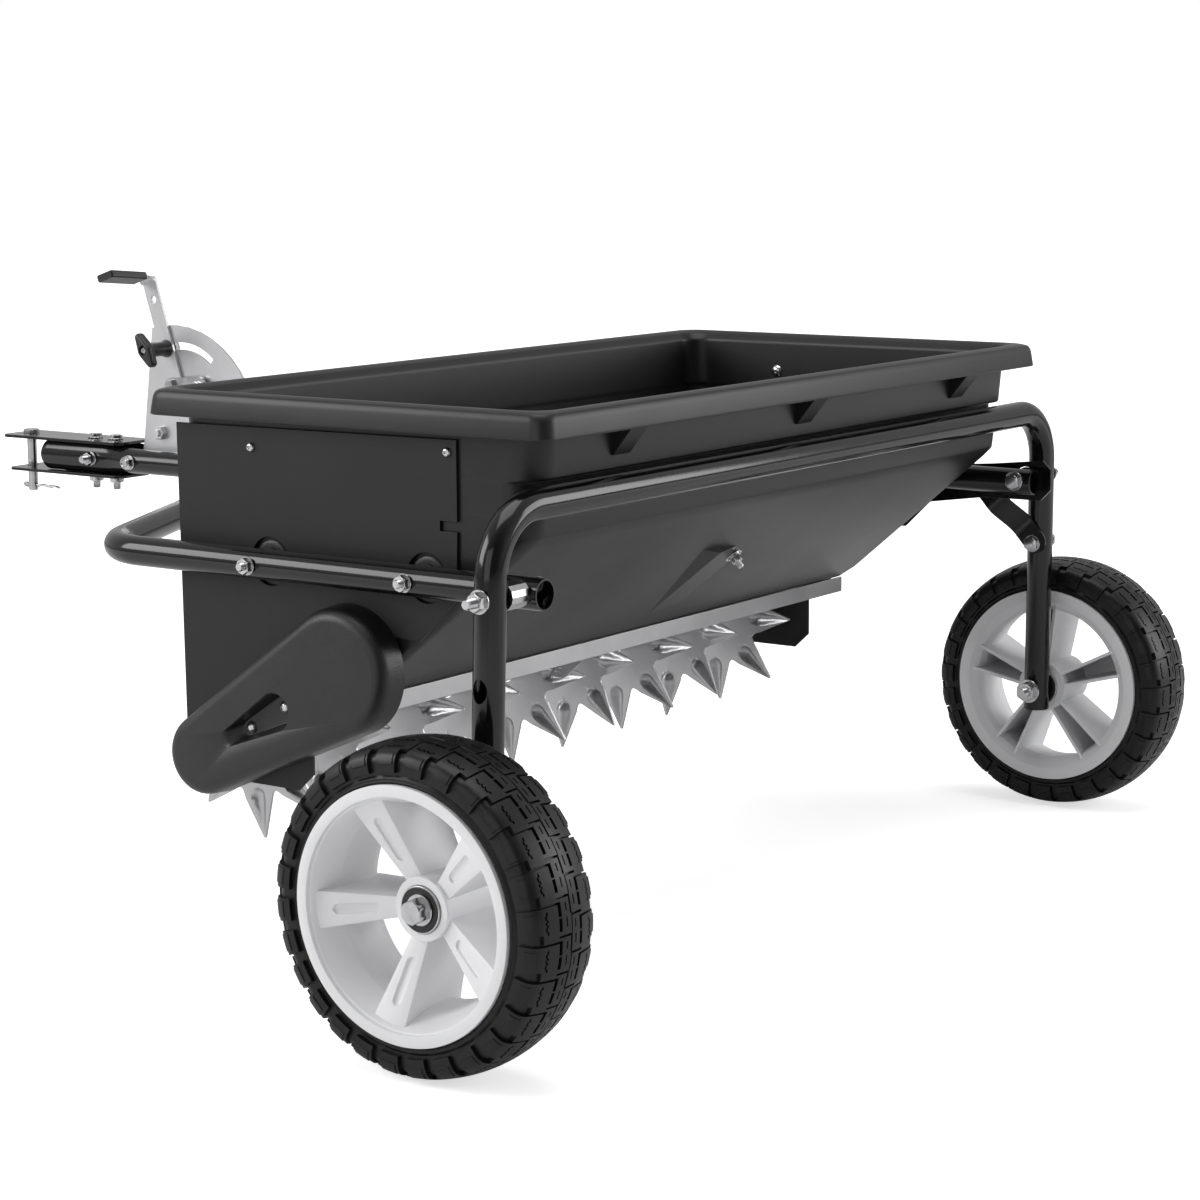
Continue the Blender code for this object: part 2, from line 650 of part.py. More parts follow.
def build_wheel_frame():
    corners = [
        (-leg_x(LEG_END_Z), leg_y(LEG_END_Z), LEG_END_Z),
        (-leg_x(CROSS_TUBE_Z), leg_y(CROSS_TUBE_Z), CROSS_TUBE_Z),
        (leg_x(CROSS_TUBE_Z), leg_y(CROSS_TUBE_Z), CROSS_TUBE_Z),
        (leg_x(LEG_END_Z), leg_y(LEG_END_Z), LEG_END_Z),
    ]
    path = round_corners(corners, LEG_BEND, 4)
    bm = bmesh.new()
    hollow_tube(bm, path, (0, 1, 0))
    frame = place("wheel_frame_tube", bm, BLACK_STEEL, smooth=True)
    holes = bmesh.new()
    for side in (-1, 1):
        for y, z, radius in ((LEG_Y, LEG_BOLT_Z, 5 * mm), (leg_y(LEG_HOLE_Z), LEG_HOLE_Z, 5 * mm),
                             (0, TYRE_RADIUS, AXLE_BOLT_RADIUS)):
            x = leg_x(z)
            drill(holes, (side * (x - 20 * mm), y, z), (side * (x + 20 * mm), y, z), radius + HOLE_PLAY, 10)
    boolean(frame, holes, "holes")

    # Sleeves keep each leg away from the arm beside it.
    for label, side in (("left", -1), ("right", 1)):
        low = ARM_X + TUBE_RADIUS + GAP
        high = low + SPACER_LENGTH - GAP - LEG_FACE_PLAY
        bm = bmesh.new()
        sleeve(bm, (side * low, LEG_Y, LEG_BOLT_Z), (side * high, LEG_Y, LEG_BOLT_Z), 11 * mm, 6 * mm, 14)
        place(f"wheel_frame_spacer_{label}", bm, ZINC, smooth=True)
        start = side * (ARM_X - TUBE_RADIUS)
        grip = 4 * TUBE_RADIUS + SPACER_LENGTH + LEG_FACE_PLAY
        bm = bmesh.new()
        hex_bolt(bm, (start, LEG_Y, LEG_BOLT_Z), (side, 0, 0), grip, 5 * mm, 17 * mm, 9 * mm)
        place(f"wheel_frame_bolt_{label}", bm, ZINC)


def build_arm_bolts():
    start = HOPPER_HALF_LENGTH - HOPPER_WALL
    grip = ARM_X + TUBE_RADIUS - start
    for label, side in (("left", -1), ("right", 1)):
        for where, y in (("rear", ARM_BOLT_REAR_Y), ("front", ARM_BOLT_FRONT_Y)):
            bm = bmesh.new()
            hex_bolt(bm, (side * start, y, ARM_Z), (side, 0, 0), grip, ARM_BOLT_RADIUS, 13 * mm, 4 * mm)
            place(f"arm_bolt_{where}_{label}", bm, ZINC)


def build_lock_bracket():
    """On the right side a plate along the arm and a short brace hold the wheel frame in place."""
    low = ARM_X + TUBE_RADIUS + GAP
    high = low + 3 * mm
    outline = [
        (118 * mm, 352 * mm),
        (30 * mm, 359 * mm),
        (-24 * mm, 365 * mm),
        (-33 * mm, 356 * mm),
        (-33 * mm, 336 * mm),
        (-22 * mm, 325 * mm),
        (39 * mm, 324.5 * mm),
        (101 * mm, 315.5 * mm),
        (118 * mm, 322 * mm),
    ]
    bm = bmesh.new()
    prism_x(bm, outline, low, high)
    plate = place("lock_bracket_plate", bm, BLACK_STEEL)
    holes = bmesh.new()
    drill(holes, (low - 5 * mm, LEG_Y, LEG_BOLT_Z), (high + 5 * mm, LEG_Y, LEG_BOLT_Z),
             11 * mm + HOLE_PLAY, 14)
    drill(holes, (low - 5 * mm, ARM_BOLT_REAR_Y, ARM_Z), (high + 5 * mm, ARM_BOLT_REAR_Y, ARM_Z),
             9 * mm, 12)
    boolean(plate, holes, "holes")
    stud = bmesh.new()
    stack(stud, (high - 1 * mm, *BRACE_TOP), (1, 0, 0), [
        (0, 4 * mm), (1 * mm + 3 * GAP + 3 * mm, 4 * mm), (1 * mm + 3 * GAP + 3 * mm, 7.4 * mm),
        (8.5 * mm, 7.4 * mm), (9.5 * mm, 6.4 * mm), (9.5 * mm, 4 * mm), (12 * mm, 3.6 * mm)], 6)
    boolean(plate, stud, "stud", "UNION")

    # The brace is joggled: it lies on the plate at the top and on the leg at the bottom.
    bolt_y = leg_y(LEG_HOLE_Z)
    top, bottom = BRACE_TOP, (bolt_y - 2 * mm, LEG_HOLE_Z + 2 * mm)
    run = Vector((bottom[0] - top[0], bottom[1] - top[1]))
    along = run.normalized()
    across = Vector((-along.y, along.x))
    half = 12 * mm
    sheet = 3 * mm
    leg_face = leg_x(top[1]) - TUBE_RADIUS - GAP
    stations = [
        (-half, high + GAP, 0.45),
        (-half * 0.5, high + GAP, 0.9),
        (run.length * 0.35, high + GAP, 1.0),
        (run.length * 0.6, leg_face - sheet, 1.0),
        (run.length + half * 0.5, leg_face - sheet, 0.9),
        (run.length + half, leg_face - sheet, 0.45),
    ]
    bm = bmesh.new()
    rings = []
    for distance, x, width in stations:
        centre = Vector(top) + along * distance
        edge = across * half * width
        a = centre - edge
        b = centre + edge
        rings.append([Vector((x, a.x, a.y)), Vector((x, b.x, b.y)),
                      Vector((x + sheet, b.x, b.y)), Vector((x + sheet, a.x, a.y))])
    bridge_rings(bm, rings)
    brace = place("lock_brace", bm, BLACK_STEEL)
    holes = bmesh.new()
    drill(holes, (high - 5 * mm, top[0], top[1]), (high + 10 * mm, top[0], top[1]),
             4 * mm + 2 * HOLE_PLAY, 8)
    drill(holes, (leg_face - 10 * mm, bolt_y, LEG_HOLE_Z), (leg_face + 5 * mm, bolt_y, LEG_HOLE_Z),
             5 * mm + HOLE_PLAY, 8)
    boolean(brace, holes, "holes")

    bm = bmesh.new()
    grip = leg_x(LEG_HOLE_Z) + TUBE_RADIUS + LEG_FACE_PLAY - (leg_face - sheet)
    hex_bolt(bm, (leg_face - sheet, bolt_y, LEG_HOLE_Z), (1, 0, 0), grip, 5 * mm, 17 * mm, 5 * mm)
    place("lock_brace_bolt", bm, ZINC)


def build_bottom():
    top = HOPPER_BOTTOM_Z - GAP
    low = top - CHANNEL_HEIGHT
    outline = [
        (SLOT_REAR_Y - SHEET, low),
        (SLOT_FRONT_Y + SHEET, low),
        (SLOT_FRONT_Y + SHEET, top),
        (SLOT_FRONT_Y, top),
        (SLOT_FRONT_Y, low + SHEET),
        (SLOT_REAR_Y, low + SHEET),
        (SLOT_REAR_Y, top),
        (SLOT_REAR_Y - SHEET, top),
    ]
    bm = bmesh.new()
    prism_x(bm, outline, -SLOT_HALF_LENGTH, SLOT_HALF_LENGTH)
    channel = place("bottom_channel", bm, GALVANISED)
    holes = bmesh.new()
    outlet_y = SLOT_FRONT_Y - 22 * mm
    for i in range(OUTLET_COUNT):
        x = (i - (OUTLET_COUNT - 1) / 2) * OUTLET_PITCH
        box(holes, (x - OUTLET_SIZE / 2, outlet_y, low - 5 * mm),
            (x + OUTLET_SIZE / 2, outlet_y + OUTLET_SIZE, low + 5 * mm))
    boolean(channel, holes, "outlets")

    # The gate slides under the channel and has a lug for the rod.
    gate_top = low - GAP
    gate_low = gate_top - 2 * mm
    bm = bmesh.new()
    rear = outlet_y - 12 * mm
    front = outlet_y + OUTLET_SIZE + GATE_OVERLAP
    outline = [
        (rear, gate_low),
        (front, gate_low),
        (front, gate_top),
        (rear, gate_top),
    ]
    prism_x(bm, outline, -SLOT_HALF_LENGTH + 6 * mm, SLOT_HALF_LENGTH - 6 * mm)
    gate = place("shutter_gate", bm, GALVANISED)
    lug = bmesh.new()
    pin_y, pin_z = ROD_REAR
    lug_outline = [
        (pin_y - 30 * mm, gate_low + 1 * mm),
        (pin_y - 30 * mm, gate_low - 2 * mm),
        (pin_y - 10 * mm, pin_z - 8 * mm),
        (pin_y - 6 * mm, pin_z - 10 * mm),
        (pin_y + 6 * mm, pin_z - 10 * mm),
        (pin_y + 8 * mm, pin_z - 8 * mm),
        (pin_y + 8 * mm, pin_z + 8 * mm),
        (pin_y + 2 * mm, gate_low + 1 * mm),
    ]
    prism_x(lug, lug_outline, LUG_X, LUG_X + 3 * mm)
    boolean(gate, lug, "lug", "UNION")
    slot = bmesh.new()
    half_wide = ROD_PIN_RADIUS + 1.1 * mm
    half_high = ROD_PIN_RADIUS + 2.8 * mm
    box(slot, (LUG_X - 5 * mm, pin_y - half_wide, pin_z - half_high),
        (LUG_X + 8 * mm, pin_y + half_wide, pin_z + half_high))
    boolean(gate, slot, "lug_slot")


def spike_disc(bm, x, facing):
    """A pressed star disc. Each spike is a cone pressed out of the sheet towards facing."""
    flat = 0.0

    def point(u, w, height, angle):
        y = REEL_Y - (u * math.sin(angle) + w * math.cos(angle))
        z = REEL_Z - (u * math.cos(angle) - w * math.sin(angle))
        return Vector((x + facing * height, y, z))

    valley = SPIKE_VALLEY_RADIUS
    half_step = math.pi / SPIKES
    edge, patches = [], []
    for i in range(SPIKES):
        angle = SPIKE_PHASE + 2 * math.pi * i / SPIKES
        shoulder = (valley + 5 * mm, 14.5 * mm)
        valley_point = point(valley * math.cos(half_step), -valley * math.sin(half_step), flat, angle)
        left = point(shoulder[0], -shoulder[1], flat, angle)
        right = point(shoulder[0], shoulder[1], flat, angle)
        foot_left = point(valley + 1.5 * mm, -7 * mm, flat, angle)
        foot_right = point(valley + 1.5 * mm, 7 * mm, flat, angle)
        mouth = point(valley - 0.8 * mm, 0, flat, angle)
        ridge = point(valley, 0, 8 * mm, angle)
        tip_left = point(SPIKE_RADIUS, -0.8 * mm, SPIKE_OFFSET, angle)
        tip_right = point(SPIKE_RADIUS, 0.8 * mm, SPIKE_OFFSET, angle)
        edge.extend([valley_point, left, foot_left, mouth, foot_right, right])
        patches.append((left, foot_left, mouth, foot_right, right, ridge, tip_left, tip_right))

    back = Vector((-facing * DISC_THICKNESS, 0, 0))
    for shift, flip in ((Vector(), False), (back, True)):
        verts = [bm.verts.new(p + shift) for p in edge]
        bore = [bm.verts.new(p + shift) for p in
                circle((x, REEL_Y, REEL_Z), (1, 0, 0), REEL_SHAFT_RADIUS + 0.5 * mm, 16)]
        rim_edges = [bm.edges.new((a, b)) for a, b in zip(verts, verts[1:] + verts[:1])]
        bore_edges = [bm.edges.new((a, b)) for a, b in zip(bore, bore[1:] + bore[:1])]
        bmesh.ops.triangle_fill(bm, use_beauty=True, use_dissolve=False, edges=rim_edges + bore_edges)
        tips = []
        for i, patch in enumerate(patches):
            left, foot_left, mouth, foot_right, right = verts[6 * i + 1:6 * i + 6]
            # verts holds left, foot, mouth, foot and right in that order after the valley point
            ridge, tip_left, tip_right = [bm.verts.new(p + shift) for p in patch[5:]]
            bm.faces.new((left, foot_left, tip_left))
            bm.faces.new((foot_left, ridge, tip_left))
            bm.faces.new((foot_left, mouth, ridge))
            bm.faces.new((mouth, foot_right, ridge))
            bm.faces.new((ridge, tip_right, tip_left))
            bm.faces.new((ridge, foot_right, tip_right))
            bm.faces.new((foot_right, right, tip_right))
            tips.append((tip_left, tip_right))
        if not flip:
            front_loop, front_bore, front_tips = verts, bore, tips
        else:
            back_loop, back_bore, back_tips = verts, bore, tips

    def outline(loop, tips):
        ordered = []
        for i in range(SPIKES):
            ordered.extend([loop[6 * i], loop[6 * i + 1], tips[i][0], tips[i][1], loop[6 * i + 5]])
        return ordered

    for front, rear in ((outline(front_loop, front_tips), outline(back_loop, back_tips)),
                        (front_bore, back_bore)):
        count = len(front)
        for i in range(count):
            j = (i + 1) % count
            bm.faces.new((front[i], front[j], rear[j], rear[i]))


def build_reel():
    axis = Vector((0, REEL_Y, REEL_Z))
    shaft_left = CHAIN_X - 6 * mm
    shaft_right = HOPPER_HALF_LENGTH + 8 * mm
    bm = bmesh.new()
    cylinder(bm, axis + Vector((shaft_left, 0, 0)), axis + Vector((shaft_right, 0, 0)),
             REEL_SHAFT_RADIUS - GAP, 16)
    place("reel_shaft", bm, ZINC, pivot=axis, smooth=True)

    places = [LAST_DISC_X - i * DISC_PITCH for i in range(DISC_COUNT - 1)] + [CHAIN_SIDE_DISC_X]
    for i, x in enumerate(places):
        facing = 1 if i % 2 == 0 else -1
        bm = bmesh.new()
        spike_disc(bm, x + facing * DISC_THICKNESS / 2, facing)
        place(f"spike_disc_{i + 1}", bm, GALVANISED, pivot=axis)


def build_sprocket(name, centre, teeth, bore):
    """A toothed disc on a shaft end, with a collar towards the plate."""
    radius = CHAIN_PITCH / 2 / math.sin(math.pi / teeth)
    outline = []
    for i in range(teeth):
        middle = 2 * math.pi * i / teeth
        for share, reach in ((0, 1.5 * mm), (0.5, -1.8 * mm)):
            angle = middle + share * 2 * math.pi / teeth
            outline.append((radius + reach, angle))
    bm = bmesh.new()
    half = 1.4 * mm
    hub = []
    rings = []
    for x in (CHAIN_X - half, CHAIN_X + half):
        rings.append([centre + Vector((x, r * math.cos(a), r * math.sin(a))) for r, a in outline])
        hub.append([centre + Vector((x, bore * math.cos(a), bore * math.sin(a))) for _, a in outline])
    bridge_rings(bm, [rings[0], rings[1], hub[1], hub[0]], closed=True)
    return place(name, bm, ZINC, pivot=centre)


def chain_path(inflate):
    """The belt line of the chain round the two sprockets, as an outline in the YZ plane."""
    large = CHAIN_PITCH / 2 / math.sin(math.pi / AGITATOR_TEETH)
    small = CHAIN_PITCH / 2 / math.sin(math.pi / REEL_TEETH)
    return tapered_outline((AGITATOR_Y, AGITATOR_Z), large + inflate, (REEL_Y, REEL_Z), small + inflate, 6)


def build_drive():
    reel = Vector((0, REEL_Y, REEL_Z))
    agitator = Vector((0, AGITATOR_Y, AGITATOR_Z))
    build_sprocket("reel_sprocket", reel, REEL_TEETH, REEL_SHAFT_RADIUS)
    build_sprocket("agitator_sprocket", agitator, AGITATOR_TEETH, AGITATOR_SHAFT_RADIUS)

    # The chain straddles the teeth: its section is a channel open towards them.
    section = ((-3.4, 3.2), (3.4, 3.2), (3.4, -3.0), (2.0, -3.0), (2.0, 2.4), (-2.0, 2.4), (-2.0, -3.0), (-3.4, -3.0))
    bm = bmesh.new()
    bridge_rings(bm, [[Vector((CHAIN_X + x * mm, y, z)) for y, z in chain_path(inflate * mm)]
                      for x, inflate in section], closed=True)
    place("drive_chain", bm, ZINC)

    # Blades on the agitator shaft wind along the hopper's slot.
    bm = bmesh.new()
    left = CHAIN_X - 5 * mm
    right = HOPPER_HALF_LENGTH + 8 * mm
    inside = HOPPER_HALF_LENGTH - 18 * mm
    steps = 16
    rings = [circle(agitator + Vector((x, 0, 0)), (1, 0, 0), AGITATOR_SHAFT_RADIUS - GAP, 8)
             for x in (left, -inside)]
    for i in range(steps + 1):
        x = -inside + 2 * inside * i / steps
        turn = math.radians(30) * i
        ring = []
        for k in range(8):
            radius = AGITATOR_BLADE_RADIUS if k % 4 == 0 else AGITATOR_SHAFT_RADIUS
            angle = turn + math.pi * k / 4
            ring.append(agitator + Vector((x, 0, 0)) + radius * offset_in_plane(angle))
        rings.append(ring)
    rings += [circle(agitator + Vector((x, 0, 0)), (1, 0, 0), AGITATOR_SHAFT_RADIUS - GAP, 8)
              for x in (inside, right)]
    bridge_rings(bm, rings)
    place("agitator_shaft", bm, GALVANISED, pivot=agitator)

    # Flanged bushes carry the reel in the plates.
    inner = HOPPER_HALF_LENGTH + GAP
    outer = inner + PLATE_THICKNESS
    bore = REEL_SHAFT_RADIUS
    neck = REEL_BUSH_RADIUS
    for label, side in (("left", -1), ("right", 1)):
        section = ((inner - 3 * mm, neck), (outer + GAP, neck), (outer + GAP, neck + 3 * mm),
                   (outer + 2 * mm, neck + 3 * mm), (outer + 2 * mm, bore), (inner - 3 * mm, bore))
        rings = [circle(reel + Vector((side * x, 0, 0)), (1, 0, 0), r, 16) for x, r in section]
        bm = bmesh.new()
        bridge_rings(bm, rings, closed=True)
        place(f"reel_bush_{label}", bm, BLACK_PLASTIC, smooth=True)


def offset_in_plane(angle):
    """Unit vector in the YZ plane that follows the same turn as circle does about +X."""
    _, side, up = axes_for((1, 0, 0))
    return math.cos(angle) * side + math.sin(angle) * up


def build_cover():
    base_x = -(HOPPER_HALF_LENGTH + 2 * GAP + PLATE_THICKNESS)
    large = (COVER_LARGE_Y, COVER_LARGE_Z)
    small = (COVER_SMALL_Y, COVER_SMALL_Z)

    def ring(x, inset):
        outline = tapered_outline(large, COVER_LARGE_RADIUS - inset, small, COVER_SMALL_RADIUS - inset, 8)
        return [Vector((x, y, z)) for y, z in outline]

    bm = bmesh.new()
    bridge_rings(bm, [
        ring(base_x, 0),
        ring(COVER_FACE_X + 9 * mm, 0.8 * mm),
        ring(COVER_FACE_X + 4 * mm, 2.2 * mm),
        ring(COVER_FACE_X + 1 * mm, 5.5 * mm),
        ring(COVER_FACE_X, 10 * mm),
    ])
    cover = place("chain_cover", bm, COVER_PLASTIC, smooth=True)

    def pocket_ring(x, grow):
        run = Vector(small) - Vector(large)
        start = Vector(large) + run * 0.40
        end = Vector(large) + run * 0.72
        outline = tapered_outline(tuple(start), 16 * mm + grow, tuple(end), 13 * mm + grow, 5)
        return [Vector((x, y, z)) for y, z in outline]

    cavity = bmesh.new()
    bridge_rings(cavity, [
        ring(base_x + 5 * mm, COVER_WALL),
        ring(COVER_FACE_X + 9 * mm + COVER_WALL, COVER_WALL + 0.8 * mm),
        ring(COVER_FACE_X + COVER_WALL, COVER_WALL + 8 * mm),
    ])
    hollow = boolean(cover, cavity, "cavity")
    keep = bmesh.new()
    bridge_rings(keep, [pocket_ring(COVER_FACE_X - 5 * mm, 5.5 * mm), pocket_ring(POCKET_FLOOR_X, COVER_WALL),
                        pocket_ring(POCKET_FLOOR_X + COVER_WALL, COVER_WALL)])
    boolean(hollow, keep, "pocket_wall")
    pocket = bmesh.new()
    bridge_rings(pocket, [pocket_ring(COVER_FACE_X - 5 * mm, 3 * mm), pocket_ring(COVER_FACE_X + 3 * mm, 1 * mm),
                          pocket_ring(POCKET_FLOOR_X, 0)])
    boolean(cover, pocket, "pocket")

    for i, (y, z) in enumerate(COVER_SCREWS):
        screw = bmesh.new()
        stack(screw, (POCKET_FLOOR_X + 1 * mm, y, z), (-1, 0, 0),
              [(0, 5 * mm), (3 * mm, 4.6 * mm), (4.5 * mm, 2.5 * mm)], 8)
        boolean(cover, screw, f"screw_{i}", "UNION")


def build_wheel(label, side, phase):
    centre = Vector((side * WHEEL_CENTRE_X, 0, TYRE_RADIUS))
    width = TYRE_HALF_WIDTH
    flange = RIM_HALF_WIDTH - FLANGE_THICKNESS
    bead = flange - GAP

    # Tyre: (distance from the middle plane, radius, is it part of a tread block)
    half_profile = [
        (bead, BEAD_SEAT_RADIUS + 3 * GAP, False),
        (bead, RIM_RADIUS + GAP, False),
        (width - 1.2 * mm, RIM_RADIUS + GAP, False),
        (width, RIM_RADIUS + 8 * mm, False),
        (width - 0.5 * mm, TREAD_EDGE_RADIUS, True),
        (TREAD_SHOULDER, TREAD_SHOULDER_RADIUS, True),
        (0, TYRE_RADIUS, True),
    ]
    profile = half_profile + [(-x, r, block) for x, r, block in reversed(half_profile[:-1])]
    bm = bmesh.new()
    rings = []
    shares = ((0.0, 0), (0.64, 0), (0.70, 1), (0.94, 1))
    for pitch in range(TREAD_PITCHES):
        for share, sunk in shares:
            angle = 2 * math.pi * (pitch + share) / TREAD_PITCHES
            ring = []
            for x, r, block in profile:
                radius = r - (TREAD_DEPTH if block and sunk and x != 0 else 0)
                inward = (2.5 * mm if block and sunk and abs(x) > TREAD_SHOULDER else 0)
                offset = x - math.copysign(inward, x)
                ring.append(centre + Vector((side * offset, radius * math.cos(angle), radius * math.sin(angle))))
            rings.append(ring)
    bridge_rings(bm, rings, closed=True)
    place(f"tyre_{label}", bm, RUBBER, pivot=centre)

    # Rim: a turned barrel with a flange at each face
    waist = RIM_WAIST_RADIUS
    seat = flange
    face = RIM_HALF_WIDTH
    well = RIM_WELL_RADIUS
    bm = bmesh.new()
    section = (
        (-seat, BEAD_SEAT_RADIUS), (-15 * mm, BEAD_SEAT_RADIUS), (-11 * mm, well), (11 * mm, well),
        (15 * mm, BEAD_SEAT_RADIUS), (seat, BEAD_SEAT_RADIUS), (seat, RIM_RADIUS - GAP),
        (face, RIM_RADIUS - GAP), (face, RIM_MOUTH_RADIUS), (face - 28 * mm, waist + 1.5 * mm),
        (-face + 13 * mm, waist - 2 * mm), (-face, RIM_MOUTH_RADIUS - 1 * mm), (-face, RIM_RADIUS - GAP),
        (-seat, RIM_RADIUS - GAP))
    lathe_x(bm, centre, [(side * x, r) for x, r in section], 40)
    rim = place(f"wheel_rim_{label}", bm, WHITE_PLASTIC, pivot=centre, smooth=True)

    # Hub with a through bore for the bearings, and five spokes open towards the machine
    hub_out = side * (face - HUB_OUTER_RECESS)
    hub_in = -side * HUB_INNER_REACH
    bm = bmesh.new()
    sleeve(bm, centre + Vector((hub_out, 0, 0)), centre + Vector((hub_in, 0, 0)), HUB_RADIUS, BEARING_RADIUS, 20)
    hub = place(f"wheel_rim_{label}_hub", bm, None)
    hub.hide_render = True
    hub.display_type = "WIRE"
    for i in range(SPOKES):
        spoke = bmesh.new()
        angle = phase + 2 * math.pi * i / SPOKES
        spoke_body(spoke, centre, side, angle)
        boolean(rim, spoke, f"spoke_{i + 1}", "UNION")
    union = rim.modifiers.new("hub", "BOOLEAN")
    union.operation = "UNION"
    union.object = hub

    # A bush through the hub, with a collar that keeps the wheel off the leg
    collar = leg_x(TYRE_RADIUS) + TUBE_RADIUS + LEG_FACE_PLAY + 14 * mm * math.sin(LEG_SPLAY)
    outside = WHEEL_CENTRE_X + side * hub_out + 1 * mm
    inside_end = WHEEL_CENTRE_X + side * hub_in
    section = ((collar, 14 * mm), (inside_end - GAP, 14 * mm), (inside_end - GAP, BEARING_RADIUS - GAP),
               (outside, BEARING_RADIUS - GAP), (outside, AXLE_BOLT_RADIUS + HOLE_PLAY),
               (collar, AXLE_BOLT_RADIUS + HOLE_PLAY))
    rings = [circle((side * x, 0, TYRE_RADIUS), (1, 0, 0), r, 20) for x, r in section]
    bm = bmesh.new()
    bridge_rings(bm, rings, closed=True)
    place(f"hub_bush_{label}", bm, ZINC, pivot=centre, smooth=True)


def spoke_body(bm, centre, side, angle):
    """A channel section, open towards the machine, that widens and rises towards the barrel."""
    radial = Vector((0, math.cos(angle), math.sin(angle)))
    across = Vector((0, -math.sin(angle), math.cos(angle)))
    # Distance from the axle, half width, and the places of the outer face and of the wall ends
    stations = (
        (HUB_RADIUS - 5 * mm, SPOKE_HALF_WIDTH_HUB, RIM_HALF_WIDTH - HUB_OUTER_RECESS - 5.5 * mm,
         3 * mm - HUB_INNER_REACH),
        (RIM_WELL_RADIUS - 0.5 * mm, SPOKE_HALF_WIDTH_RIM, RIM_HALF_WIDTH - 8 * mm, 3 * mm - RIM_HALF_WIDTH),
    )
    skin = SPOKE_SKIN
    rings = []
    for radius, half, top, low in stations:
        section = ((-half, top), (half, top), (half, low), (half - skin, low), (half - skin, top - skin),
                   (-half + skin, top - skin), (-half + skin, low), (-half, low))
        rings.append([centre + radial * radius + across * w + Vector((side * x, 0, 0)) for w, x in section])
    bridge_rings(bm, rings)


def build_axles():
    for label, side in (("left", -1), ("right", 1)):
        outer = WHEEL_CENTRE_X + RIM_HALF_WIDTH - HUB_OUTER_RECESS + 1 * mm
        inner = leg_x(TYRE_RADIUS) - TUBE_RADIUS - LEG_FACE_PLAY
        bm = bmesh.new()
        hex_bolt(bm, (side * outer, 0, TYRE_RADIUS), (-side, 0, 0), outer - inner, AXLE_BOLT_RADIUS,
                 AXLE_BOLT_FLATS, 4 * mm, 12)
        place(f"axle_bolt_{label}", bm, ZINC)


